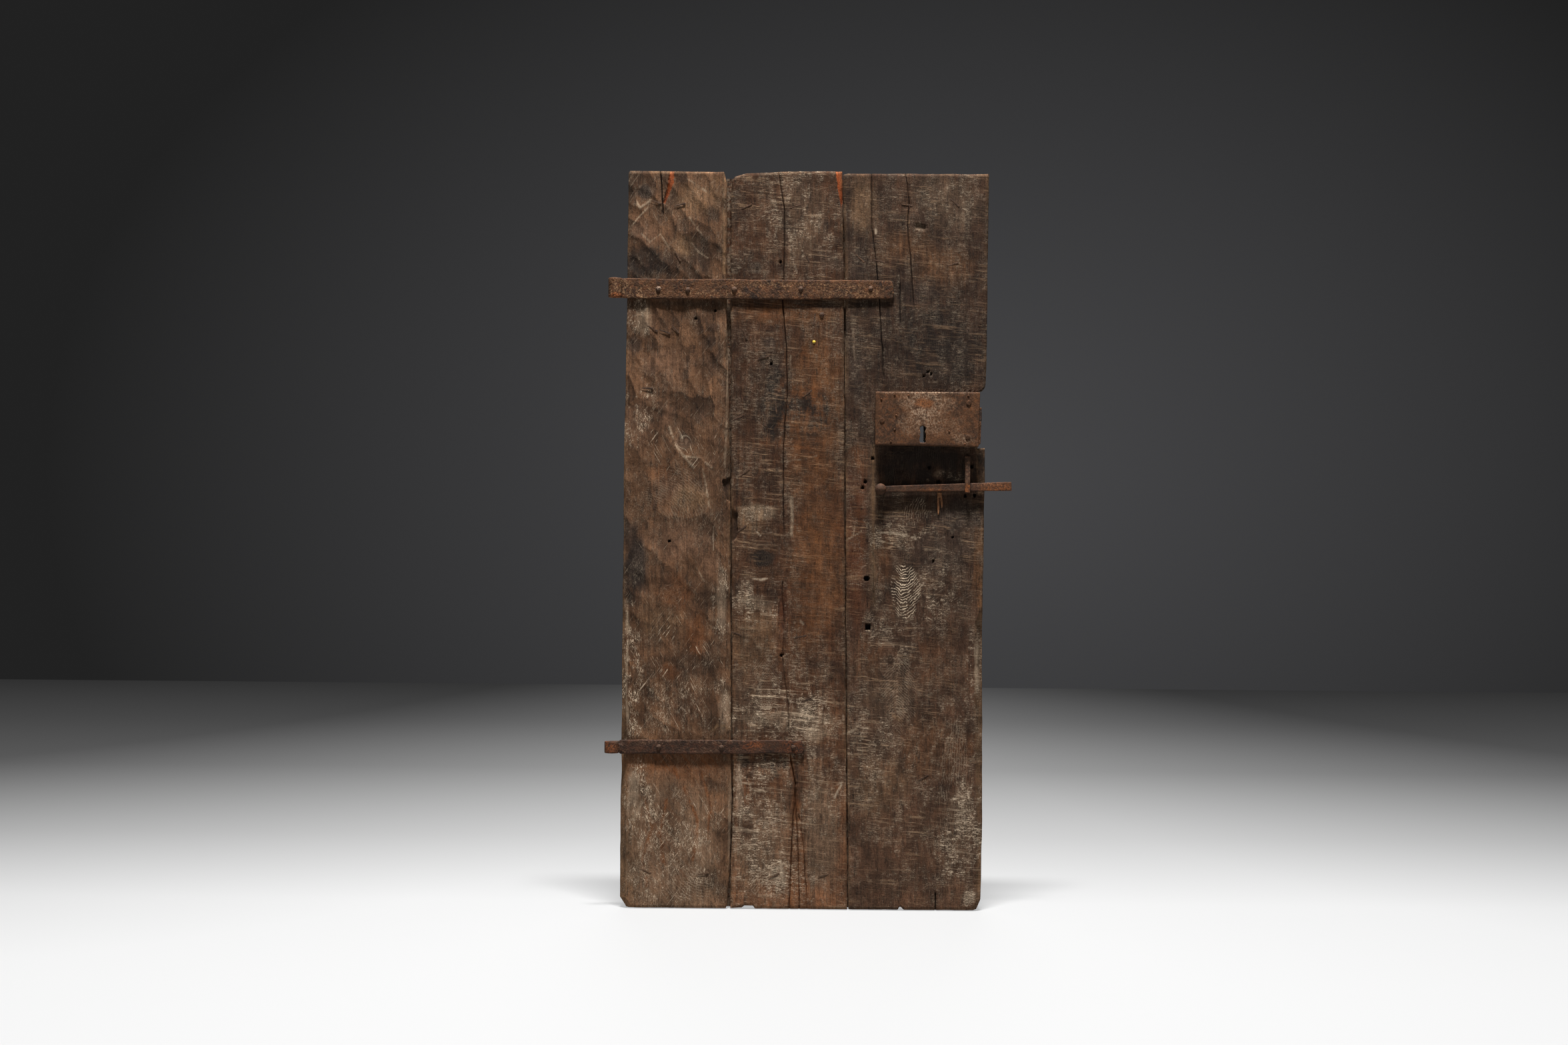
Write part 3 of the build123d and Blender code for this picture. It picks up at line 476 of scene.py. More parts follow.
def plankSurface(plank, x, z, edgeDistance):  # relief and colour of a plank's front at given places
    seed = plank["seed"]
    count = len(x)
    relief = 0.0009 * roughNoise(x * 9, z * 3, seed, 3) + 0.0004 * roughNoise(x * 150, z * 9, seed + 1, 3)
    relief = relief + 0.0007 * roughNoise(x * 42, z * 26, seed + 4, 4)
    relief = relief + plank["sawDeep"] * roughNoise(x * 12, z * 190 + x * 22, seed + 8, 2)
    # painted light: brighter towards the foot as painted floor bounce, darker higher up as painted shade
    tone = plank["base"] * downLeaf(plank["paintedLightGains"], leafMiddleX, z)[:, None]
    marks = np.tile(np.array(plank["marks"], float), (count, 1))
    flowX = x + 0.006 * roughNoise(x * 6, z * 2.2, seed + 2, 3)
    for px, py, radius, squash in plank["knots"]:  # grain bends round a knot
        kx, kz = fromPhoto(px, py)
        size = radius * pixel
        dx, dz = x - kx, (z - kz) * squash
        flowX = flowX - dx * size ** 2 / (dx ** 2 + dz ** 2 + 0.25 * size ** 2)
    if "strokes" in plank:
        relief, tone = addAdze(plank, x, z, relief, tone)
    for index, (tint, *patch, pull) in enumerate(plank["patches"]):
        tone = tinge(tone, np.clip(pull * softPatch(x, z, patch, seed + 11 + index), 0, 1), tint)
    for index, (mark, *patch, amount) in enumerate(plank["washes"]):
        marks[:, markSlots[mark]] += amount * softPatch(x, z, patch, seed + 71 + index)
    for index, (tint, pull, half, deep, line) in enumerate(plank["scratches"]):
        wander = half * (1 + 0.5 * roughNoise(x * 60, z * 60, seed + index, 2))
        share = fade(-nearLine(allFromPhoto(line), x, z) / wander, -1.6, -0.5)
        broken = fade(roughNoise(x * 90, z * 90, seed + 50 + index, 3), -0.7, 0.1)
        relief = relief + deep * share
        tone = tinge(tone, share * pull * broken, tint)
    hollowShade = np.zeros(count)
    for index, crack in enumerate(plank["cracks"]):
        dip, middle, ends = crackDip(x, z, crack, seed + 31 + index)
        relief = relief + crack["deep"] * dip
        hollowShade = np.maximum(hollowShade, dip * crack.get("shade", 1.0))
        if "edgeTint" in crack:
            lip = ends * np.exp(-np.abs(x - middle) / (crack["half"] * 2.6)) * 0.8
            tone = tinge(tone, lip, crack["edgeTint"])
    for scar in plank["scars"]:
        ragged = x + 0.0012 * roughNoise(z * 60, x * 60, seed + 5, 2)
        inside = insideOf(allFromPhoto(scar["outline"]), ragged, z)
        relief = relief + scar["deep"] * inside
        tone = tinge(tone, inside * scar["pull"], scar["tint"])
        marks = marks * (1 - inside[:, None])
    for px, py, half, square in plank["holes"]:
        hx, hz = fromPhoto(px, py)
        reach = np.maximum(np.abs(x - hx), np.abs(z - hz)) if square else np.hypot(x - hx, z - hz)
        inside = fade(-reach, -half - 0.0012, -half + 0.0006)
        relief = relief + wear["holeDeep"] * inside
        hollowShade = np.maximum(hollowShade, inside)
    # painted shade in cracks and nail holes
    tone = tone * (1 - 0.93 * np.clip(hollowShade, 0, 1))[:, None]
    marks = marks * (1 - np.clip(hollowShade * 1.5, 0, 1))[:, None]
    worn = np.clip(1 - edgeDistance / wear["edge"], 0, 1)
    relief = relief + wear["round"] * worn ** 2.2 * (1 + 0.35 * roughNoise(x * 40, z * 40, seed + 7, 2))
    rubbed = np.clip(1 - edgeDistance / wear["rubbed"], 0, 1)
    rubbed = rubbed * fade(roughNoise(x * 30, z * 14, seed + 9, 4), -0.5, 0.5)
    tone = tinge(tone, rubbed * wear["rubPull"], "tan")
    flow = np.c_[flowX, np.full(count, faceY), z]
    ring = markSlots["ring"]
    curl, marks[:, ring] = curlPhase(plank, x, z, flowX, marks[:, ring])
    return relief, np.clip(tone, 0.002, 0.8), np.clip(marks, 0, 1.6), flow, curl


def spread(places, share):  # more columns near the edges of a plank
    return places - share * np.sin(2 * math.pi * places) / (2 * math.pi)


def plankGrid(plank):  # front of a plank as a grid between its edges, with its openings
    bm = bmesh.new()
    bmesh.ops.create_grid(bm, x_segments=plank["cols"], y_segments=plank["rows"], size=0.5)
    uv = np.array([vert.co[:2] for vert in bm.verts])
    uv = (uv - uv.min(0)) / (uv.max(0) - uv.min(0))
    u, v = spread(uv[:, 0], 0.4), uv[:, 1]
    for stop in plank.get("rowStops", []):  # two rows close up at a square corner of the outline
        target = (stop - leafFoot) / leafHeight
        rowsNow = np.unique(v)
        nearest = rowsNow[np.argsort(np.abs(rowsNow - target))[:2]]
        v = np.where(np.isclose(v, nearest.min()), target - 0.00008, v)
        v = np.where(np.isclose(v, nearest.max()), target + 0.00008, v)
    seed = plank["seed"]
    nominal = leafFoot + v * leafHeight
    left = lineAt(plank["left"], nominal) + 0.0012 * roughNoise(nominal * 16, nominal * 0, seed + 21, 4)
    right = lineAt(plank["right"], nominal) + 0.0012 * roughNoise(nominal * 16, nominal * 0 + 7, seed + 22, 4)
    x = left + u * (right - left)
    foot = lineAt(plank["foot"], x) + 0.0010 * roughNoise(x * 30, x * 0, seed + 23, 3)
    top = lineAt(plank["top"], x) + 0.0008 * roughNoise(x * 30, x * 0 + 3, seed + 24, 3)
    z = foot + v * (top - foot)
    wide = len(np.unique(np.round(uv[:, 0], 6)))
    x = x.reshape(-1, wide)
    for index, crack in enumerate(plank["cracks"]):  # one column runs along each crack
        dip, middle, ends = crackDip(x.ravel(), z, crack, seed + 31 + index)
        middle, ends = middle.reshape(-1, wide), ends.reshape(-1, wide)
        inside = ends[:, 0] > 0.02
        column = int(np.argmin(np.abs(x - middle)[inside].mean(0)))
        heights = z.reshape(-1, wide)[:, column]
        window = fade(heights, heights[inside].min() - 0.05, heights[inside].min())
        window = window * fade(-heights, -heights[inside].max() - 0.05, -heights[inside].max())
        shift = (middle[:, column] - x[:, column]) * window
        near = np.clip(1 - np.abs(np.arange(wide) - column) / crack.get("drag", 6), 0, 1)
        x = x + shift[:, None] * near[None, :]
    x = x.ravel()
    places = inBox(np.c_[x, np.full(len(x), faceY), z])
    for vert, place in zip(bm.verts, places):
        vert.co = place
    for lowX, highX, lowZ, highZ in plank.get("gates", []):  # openings right through the plank
        middles = [(side, side.calc_center_median()) for side in bm.faces]
        doomed = [side for side, at in middles if lowX < at.x < highX and lowZ < at.z < highZ]
        bmesh.ops.delete(bm, geom=doomed, context="FACES")
    return bm


def closeBack(bm, depth):  # walls run back from the open rim and the back is filled
    rim = [edge for edge in bm.edges if edge.is_boundary]
    for item in bmesh.ops.extrude_edge_only(bm, edges=rim)["geom"]:
        if isinstance(item, bmesh.types.BMVert):
            item.co.y = depth
    rim = [edge for edge in bm.edges if edge.is_boundary]
    bmesh.ops.triangle_fill(bm, edges=rim, use_beauty=True)
    bmesh.ops.recalc_face_normals(bm, faces=bm.faces)


def makePlank(plank):
    bm = plankGrid(plank)
    places = np.array([vert.co for vert in bm.verts])
    x, z = places[:, 0], places[:, 2]
    left, right = lineAt(plank["left"], z), lineAt(plank["right"], z)
    ends = np.minimum(z - lineAt(plank["foot"], x), lineAt(plank["top"], x) - z)
    edgeDistance = np.clip(np.minimum(np.minimum(x - left, right - x), ends), 0, None)
    relief, tone, marks, flow, curl = plankSurface(plank, x, z, edgeDistance)
    for bevel in plank["bevels"]:  # worn strip along one front edge
        leg = downLeaf(bevel["legs"], leafMiddleX, z)
        inward = (x - left) if bevel["side"] == "left" else (right - x)
        cut = np.clip(leg - inward, 0, None)
        relief = np.maximum(relief, cut * 0.9)
        tone = tinge(tone, fade(cut, 0.0, 0.001) * bevel["pull"], bevel["tint"])
    for vert, depth in zip(bm.verts, relief):
        vert.co.y = faceY + depth
    source = bm.verts.layers.int.new("source")  # each back corner keeps the number of its front one
    for index, vert in enumerate(bm.verts):
        vert[source] = index
    closeBack(bm, backY)
    mesh = meshFrom(bm, plank["name"])
    places = placesOf(mesh)
    fronts = np.zeros(len(places), np.int32)
    mesh.attributes["source"].data.foreach_get("value", fronts)
    mesh.attributes.remove(mesh.attributes["source"])
    back = (places[:, 1] > backY - 0.00001)[:, None]
    tone = np.where(back, plank["base"] * 0.9, tone[fronts])
    marks = np.where(back, backMarks, marks[fronts])
    storeLook(mesh, tone, marks[:, :3], np.where(back, places, flow[fronts]), marks[:, 3:], curl[fronts])
    placePiece(mesh, plank["name"], makeWood(plank["look"]), plank["node"])


# Edges of the planks are shares of the leaf, other places are photo pixels.
# Marks: amounts in the order of markSlots. Painted light gains: photo row, brightness (painted bounce light
# and shade by height). Knots: x, y, radius, squash.
# Patches: tint, x, y, half width, half height, pull. Washes: the same for a mark.
# Scratches: tint, pull, half width, depth, line. Holes: x, y, half width, square or not.

# Hinge plank: hewn with an adze
hingeRight = [(0.290, 0.0), (0.294, 0.004), (0.300, 0.051), (0.304, 0.15), (0.292, 0.60), (0.279, 0.82),
              (0.277, 0.985), (0.268, 1.0)]
hingePlank = {
    "name": "hewnHingePlank", "node": "hinge_plank", "slot": "hewn_pine", "seed": 3.0,
    "cols": 126, "rows": 660, "base": paint(86, 60, 41), "sawDeep": 0.0001,
    "marks": (0.16, 0.20, 0.10, 0.02, 0.22, 0.0),
    "paintedLightGains": [(258, 0.95), (340, 0.92), (430, 0.80), (560, 0.95), (900, 0.97), (1090, 0.92), (1180, 1.4),
              (1360, 1.85)],
    "left": swapped([(0.012, 0.001), (-0.004, 0.012), (-0.003, 0.15), (-0.002, 0.60), (0.002, 0.78),
                     (0.004, 0.997), (0.008, 1.0)]),
    "right": swapped(hingeRight),
    "top": onLeaf([(0.0, 1.0), (0.272, 1.0)]), "foot": onLeaf([(0.0, 0.002), (0.02, 0.0), (0.3, 0.0)]),
    "strokes": [
        {"from": 240, "stepX": 0.038, "stepZ": 0.046, "long": 0.048, "wide": 0.020, "turn": 52},
        {"from": 450, "stepX": 0.032, "stepZ": 0.034, "long": 0.034, "wide": 0.019, "turn": 66},
        {"from": 610, "stepX": 0.050, "stepZ": 0.050, "long": 0.056, "wide": 0.028, "turn": 42},
        {"from": 780, "stepX": 0.042, "stepZ": 0.042, "long": 0.044, "wide": 0.024, "turn": 54},
        {"from": 960, "stepX": 0.034, "stepZ": 0.040, "long": 0.044, "wide": 0.020, "turn": 52},
        {"from": 1140, "stepX": 0.046, "stepZ": 0.044, "long": 0.050, "wide": 0.026, "turn": 46},
    ],
    "adzeSpan": 0.30, "adzeDeep": 0.0028, "ridgeWide": 0.034,
    "adzeShare": [(256, 0.75), (430, 0.72), (600, 0.62), (680, 0.45), (800, 0.5), (950, 0.45), (1100, 0.45),
                  (1180, 0.35), (1250, 0.3), (1365, 0.25)],
    "knots": [(1026, 662, 9, 0.8), (1001, 865, 7, 0.5)],
    "cracks": [{"line": [(990, 256), (994, 303), (995, 326)], "half": 0.0020, "deep": 0.006,
                "openTop": True}],
    "scars": [
        {"outline": [(1006, 250), (1013, 250), (1010, 275), (998, 306), (995, 304), (1001, 280)],
         "deep": 0.003, "tint": "orange", "pull": 0.85},
        {"outline": [(1083, 720), (1098, 716), (1098, 753), (1090, 751), (1086, 738)],
         "deep": 0.005, "tint": "dark", "pull": 0.8},
    ],
    "holes": [(1073, 466, 0.0022, 0), (1044, 478, 0.002, 0), (1004, 812, 0.0024, 0)],
    "scratches": [
        ("pale", 0.8, 0.0020, -0.0006, [(955, 303), (960, 312), (976, 300)]),
        ("pale", 0.7, 0.0016, 0, [(943, 345), (956, 328), (972, 311)]),
        ("pale", 0.7, 0.0015, 0, [(962, 350), (975, 363), (990, 351), (1004, 372)]),
        ("pale", 0.7, 0.0014, 0, [(1034, 326), (1054, 354)]),
        ("pale", 0.7, 0.0014, 0, [(1036, 363), (1048, 378), (1062, 387)]),
        ("pale", 0.7, 0.0018, 0, [(1031, 268), (1046, 278), (1059, 287)]),
        ("tan", 0.7, 0.0030, 0, [(1086, 262), (1085, 330), (1086, 410)]),
        ("pale", 0.5, 0.0030, 0, [(971, 458), (972, 496)]),
        ("pale", 0.8, 0.0022, -0.0014, [(1004, 641), (1013, 667), (1026, 685), (1040, 701)]),
        ("pale", 0.8, 0.0022, -0.0012, [(1026, 685), (1050, 687), (1068, 702)]),
        ("pale", 0.8, 0.0016, 0, [(1054, 704), (1060, 735), (1064, 762)]),
        ("rosy", 0.6, 0.0026, 0, [(1066, 700), (1076, 672), (1064, 640), (1050, 620)]),
        ("pale", 0.45, 0.0026, 0, [(1092, 480), (1092, 560), (1090, 640), (1087, 700)]),
        ("cream", 0.5, 0.0014, 0, [(1070, 790), (1070, 826)]),
        ("pale", 0.7, 0.0016, 0, [(1044, 850), (1056, 872)]),
        ("pale", 0.65, 0.0034, 0, [(940, 900), (942, 955), (938, 1040), (944, 1100)]),
        ("tan", 0.7, 0.0040, 0, [(1066, 1100), (1076, 1088), (1094, 1092)]),
        ("pale", 0.7, 0.0036, 0, [(950, 1230), (962, 1206), (972, 1180)]),
        ("rust", 0.8, 0.0036, 0, [(1008, 1150), (1030, 1190), (1046, 1230), (1040, 1290)]),
        ("rust", 0.8, 0.0034, 0, [(1000, 1200), (990, 1250), (996, 1300)]),
        ("rust", 0.7, 0.0032, 0, [(966, 1196), (978, 1240), (964, 1290), (970, 1330)]),
        ("rust", 0.6, 0.0030, 0, [(1052, 1160), (1066, 1210), (1060, 1260)]),
    ],
    "patches": [
        ("smoke", 968, 289, 14, 12, 0.8), ("black", 966, 398, 34, 24, 0.75), ("dark", 1022, 392, 26, 20, 0.6),
        ("dark", 1068, 322, 11, 13, 0.7), ("dark", 1050, 388, 16, 24, 0.5), ("tan", 1026, 368, 18, 16, 0.55),
        ("rosy", 966, 346, 22, 20, 0.5), ("tan", 1040, 300, 22, 30, 0.35), ("tan", 1072, 290, 14, 26, 0.35),
        ("pale", 964, 480, 12, 26, 0.35), ("dark", 1070, 490, 10, 12, 0.6), ("dark", 1067, 513, 9, 10, 0.6),
        ("rosy", 1000, 552, 40, 30, 0.45), ("smoke", 951, 518, 12, 14, 0.6), ("dark", 978, 592, 16, 18, 0.45),
        ("dark", 1072, 545, 16, 26, 0.5), ("rosy", 962, 640, 26, 40, 0.5), ("smoke", 1026, 662, 16, 14, 0.5),
        ("rosy", 1000, 620, 16, 20, 0.5), ("rust", 995, 714, 30, 13, 0.25), ("tan", 1034, 748, 28, 20, 0.5),
        ("rosy", 998, 732, 24, 18, 0.5), ("rosy", 1010, 812, 46, 26, 0.6), ("smoke", 954, 850, 18, 50, 0.95),
        ("smoke", 946, 800, 12, 24, 0.5), ("rust", 1014, 890, 24, 30, 0.4), ("dark", 1000, 868, 14, 20, 0.5),
        ("cream", 1082, 905, 8, 44, 0.25), ("rosy", 1060, 840, 18, 40, 0.4), ("tan", 990, 930, 40, 26, 0.3),
        ("dark", 1020, 1000, 60, 26, 0.45), ("rust", 1004, 1010, 18, 14, 0.4),
        ("rust", 1046, 950, 16, 34, 0.5), ("dark", 1070, 985, 18, 30, 0.4), ("cream", 1086, 1062, 9, 40, 0.2),
        ("dark", 1040, 1070, 40, 30, 0.4), ("rust", 1010, 1160, 70, 20, 0.25),
        ("dark", 1070, 1180, 24, 12, 0.45), ("rosy", 980, 1290, 44, 60, 0.4), ("tan", 948, 1280, 14, 70, 0.4),
        ("cream", 950, 1190, 10, 40, 0.4), ("cream", 1096, 1220, 5, 70, 0.35),
        # the dark patch at row 456 is painted shadow under the upper strap, partly dirt
        ("worn", 1010, 1270, 80, 110, 0.7), ("dark", 1020, 456, 84, 7, 0.7),
        ("dark", 1040, 1320, 40, 26, 0.35), ("dark", 990, 1220, 26, 22, 0.3),
    ],
    "washes": [
        ("fleck", 962, 478, 26, 30, 0.9), ("fleck", 958, 630, 36, 50, 0.9),
        ("fleck", 944, 1020, 20, 110, 1.6), ("fleck", 956, 1206, 24, 60, 1.8),
        ("fleck", 1083, 900, 14, 60, 0.8), ("fleck", 1085, 1060, 16, 50, 0.9),
        ("stain", 966, 396, 44, 34, 0.9), ("stain", 948, 850, 24, 60, 0.8),
        ("vein", 1020, 1000, 76, 100, 0.9), ("smear", 1010, 1140, 80, 20, 0.8),
        ("vein", 1020, 680, 60, 60, 0.5), ("fleck", 1020, 1060, 60, 50, 0.5),
        ("fleck", 1010, 1270, 80, 90, 0.8), ("vein", 1010, 1260, 80, 100, 0.8),
        ("smear", 1000, 1270, 60, 90, 0.35),
    ],
    "curls": [
        {"patch": (1010, 745, 46, 46), "heart": (960, 790, 1.2), "pitch": 4.0, "amount": 0.12},
        {"patch": (1040, 1330, 36, 26), "heart": (1060, 1290, 1.0), "pitch": 4.0, "amount": 0.3},
    ],
    "bevels": [{"side": "left", "legs": [(600, 0.0), (1000, 0.008), (1140, 0.015), (1365, 0.017)],
                "tint": "tan", "pull": 0.4}],
    "look": {"name": "hewnPine", "sawPull": 0.35, "sawTint": woodTints["tan"], "sawTilt": 0.9,
             "palePull": 0.9, "grit": 0.24, "brush": (330, 100, 150), "slash": (1.05, -0.95),
             "paleTint": woodTints["cream"] * 1.45, "darkTint": woodTints["black"],
             "smearTint": woodTints["rust"], "bump": 0.75},
}

# Middle plank: sawn, with a long heart check
middleRight = [(0.628, 0.0), (0.622, 0.167), (0.609, 0.60), (0.604, 0.836), (0.596, 1.0)]
middleLeft = [(0.304, 0.0), (0.305, 0.051), (0.308, 0.15), (0.295, 0.60), (0.290, 0.82), (0.289, 0.984),
              (0.294, 1.0)]
middlePlank = {
    "name": "sawnMiddlePlank", "node": "middle_plank", "slot": "sawn_pine", "seed": 17.0,
    "cols": 150, "rows": 560, "base": paint(72, 46, 29), "sawDeep": 0.00035,
    "marks": (0.22, 0.52, 0.55, 0.04, 0.06, 0.0),
    "paintedLightGains": [(258, 1.0), (330, 0.95), (430, 0.85), (560, 0.75), (700, 0.85), (900, 1.0), (1060, 1.3),
              (1200, 2.0), (1360, 2.5)],
    "left": swapped(middleLeft), "right": swapped(middleRight),
    "top": onLeaf([(0.289, 0.988), (0.300, 0.994), (0.330, 0.998), (0.45, 1.001), (0.597, 1.002)]),
    "foot": onLeaf([(0.304, 0.0), (0.335, 0.001), (0.342, 0.004), (0.366, 0.004), (0.372, 0.0),
                    (0.628, 0.0)]),
    "knots": [(1145, 838, 14, 0.5), (1154, 511, 9, 0.5), (1219, 646, 8, 0.5), (1150, 1048, 9, 0.4),
              (1133, 402, 7, 0.5)],
    "cracks": [
        {"line": [(1167, 255), (1177, 316), (1176, 412), (1174, 452), (1180, 523), (1181, 589), (1175, 672),
                  (1176, 830)], "half": 0.0018, "deep": 0.005, "openTop": True, "shade": 0.6},
        {"line": [(1173, 868), (1174, 905), (1177, 942)], "half": 0.0045, "deep": 0.004,
         "edgeTint": "deepRed", "shade": 0.6},
        {"line": [(1176, 942), (1174, 990), (1182, 1060), (1183, 1110)], "half": 0.0020, "deep": 0.003,
         "shade": 0.4},
        {"line": [(1183, 1112), (1186, 1140), (1193, 1181), (1188, 1260), (1184, 1364)], "half": 0.0024,
         "deep": 0.005, "openFoot": True, "edgeTint": "rust", "shade": 0.6, "drag": 4},
        {"line": [(1192, 1181), (1197, 1270), (1199, 1364)], "half": 0.0020, "deep": 0.005,
         "openFoot": True, "edgeTint": "rust", "shade": 0.4, "drag": 3},
        {"line": [(1195, 1190), (1205, 1270), (1211, 1364)], "half": 0.0018, "deep": 0.004,
         "openFoot": True, "edgeTint": "rust", "shade": 0.35, "drag": 3},
    ],
    "scars": [
        {"outline": [(1253, 250), (1266, 250), (1265, 285), (1262, 313), (1259, 300)], "deep": 0.0035,
         "tint": "orange", "pull": 0.85},
        {"outline": [(1094, 763), (1106, 770), (1106, 805), (1100, 813), (1094, 813)], "deep": 0.005,
         "tint": "dark", "pull": 0.8},
    ],
    "holes": [(1171, 393, 0.002, 0), (1157, 546, 0.0025, 0), (1172, 983, 0.003, 0)],
    "scratches": [
        ("pale", 0.75, 0.0034, 0.001, [(1187, 746), (1188, 776), (1187, 808)]),
        ("pale", 0.55, 0.0024, 0, [(1186, 534), (1184, 566)]),
        ("pale", 0.3, 0.0013, 0, [(1216, 350), (1216, 384)]),
        ("cream", 0.3, 0.0012, 0, [(1190, 394), (1196, 410)]),
        ("cream", 1.0, 0.0022, 0, [(1192, 934), (1200, 931), (1205, 936)]),
        ("cream", 0.8, 0.0020, 0, [(1130, 868), (1142, 870), (1150, 868)]),
        ("cream", 1.0, 0.0012, 0, [(1134, 797), (1141, 804)]),
        ("pale", 0.9, 0.0010, 0, [(1176, 692), (1200, 690), (1225, 684)]),
        ("cream", 0.7, 0.0016, 0, [(1108, 1152), (1112, 1178)]),
        ("cream", 0.6, 0.0030, 0, [(1160, 1306), (1172, 1300), (1176, 1330)]),
        ("pale", 0.6, 0.0014, 0, [(1104, 1096), (1180, 1098), (1250, 1086)]),
        ("cream", 0.7, 0.0022, 0, [(1252, 1196), (1262, 1178)]),
        ("cream", 0.7, 0.0014, 0, [(1250, 1180), (1262, 1174)]),
    ],
    "patches": [
        ("warm", 1175, 468, 80, 18, 0.5), ("red", 1232, 540, 34, 60, 0.4), ("red", 1230, 600, 34, 40, 0.35),
        ("rust", 1222, 668, 46, 14, 0.35), ("rust", 1158, 664, 26, 8, 0.3), ("red", 1225, 720, 42, 54, 0.4),
        ("red", 1226, 800, 42, 60, 0.5), ("red", 1228, 900, 40, 60, 0.45), ("red", 1216, 960, 40, 40, 0.3),
        ("red", 1226, 770, 40, 210, 0.35), ("deepRed", 1176, 920, 8, 40, 0.6),
        ("pale", 1136, 768, 30, 12, 0.38), ("warm", 1222, 640, 44, 170, 0.4),
        ("warm", 1222, 860, 44, 90, 0.3), ("tan", 1126, 780, 22, 22, 0.4), ("black", 1143, 838, 22, 14, 0.95),
        ("deepRed", 1168, 842, 8, 12, 0.6), ("black", 1160, 570, 12, 40, 0.7),
        ("black", 1163, 621, 13, 15, 0.8), ("dark", 1210, 622, 26, 26, 0.5), ("dark", 1112, 600, 14, 16, 0.5),
        ("dark", 1133, 402, 9, 9, 0.7), ("smoke", 1154, 511, 10, 9, 0.7), ("smoke", 1240, 390, 24, 16, 0.4),
        ("dark", 1112, 310, 26, 24, 0.4), ("grey", 1205, 330, 40, 60, 0.4), ("dark", 1225, 745, 30, 10, 0.4),
        ("tan", 1130, 960, 34, 50, 0.35), ("pale", 1130, 905, 30, 14, 0.3), ("grey", 1120, 1060, 30, 50, 0.4),
        ("pale", 1180, 1080, 60, 18, 0.35), ("pale", 1226, 1102, 18, 12, 0.5),
        ("black", 1191, 1188, 12, 38, 0.9), ("black", 1150, 1146, 50, 8, 0.55),
        ("rust", 1192, 1290, 9, 60, 0.4), ("tan", 1130, 1300, 30, 40, 0.35),
        ("cream", 1168, 1318, 10, 16, 0.5), ("cream", 1110, 1190, 6, 50, 0.3),
        ("worn", 1150, 1270, 60, 90, 0.5), ("worn", 1232, 1250, 28, 100, 0.7),
        # the black patch at row 457 is painted shadow under the upper strap, partly dirt
        ("black", 1180, 457, 90, 7, 0.6), ("dark", 1240, 1010, 20, 26, 0.4),
        ("smoke", 1225, 1128, 26, 10, 0.5), ("dark", 1150, 1030, 16, 12, 0.5),
    ],
    "washes": [
        ("fleck", 1200, 330, 60, 70, 0.5), ("fleck", 1130, 905, 40, 40, 0.8),
        ("fleck", 1180, 1070, 90, 50, 0.75), ("fleck", 1136, 770, 40, 20, 0.7),
        ("stain", 1160, 590, 24, 70, 0.9), ("stain", 1220, 620, 40, 50, 0.6), ("saw", 1130, 290, 50, 40, 0.6),
        ("saw", 1200, 690, 80, 60, 0.6), ("saw", 1120, 850, 30, 36, 0.9), ("smear", 1222, 620, 46, 130, 0.6),
        ("smear", 1222, 860, 46, 110, 0.45), ("smear", 1170, 468, 80, 20, 0.6),
        ("fleck", 1130, 1200, 40, 60, 0.8), ("fleck", 1150, 1310, 50, 40, 0.6),
        ("stain", 1150, 1140, 60, 30, 0.6), ("fleck", 1180, 1180, 110, 190, 0.4),
        ("saw", 1180, 1200, 90, 160, 0.4), ("saw", 1180, 1070, 90, 70, 0.7),
        ("fleck", 1143, 838, 24, 16, -0.5), ("fleck", 1193, 1190, 14, 44, -0.8),
        ("saw", 1193, 1190, 14, 44, -0.6), ("saw", 1226, 800, 38, 190, -0.22),
        ("fleck", 1226, 800, 38, 190, -0.12), ("saw", 1143, 838, 24, 16, -0.5),
    ],
    "bevels": [],
    "curls": [
        {"patch": (1148, 1040, 26, 60), "arms": [(1120, 30), (1136, 8), (1150, -10), (1164, 10), (1180, 34)],
         "pitch": 4.4, "amount": 0.1},
        {"patch": (1150, 1330, 30, 24), "heart": (1160, 1360, 0.8), "pitch": 3.8, "amount": 0.3},
    ],
    "look": {"name": "sawnPine", "sawPull": 0.74, "sawTint": woodTints["tan"] * 1.15, "sawTilt": 0.09,
             "palePull": 0.92, "grit": 0.26, "brush": (80, 100, 390), "slash": (0.5, -0.9),
             "paleTint": woodTints["cream"] * 1.5, "darkTint": woodTints["black"],
             "smearTint": woodTints["rust"], "bump": 0.85},
}

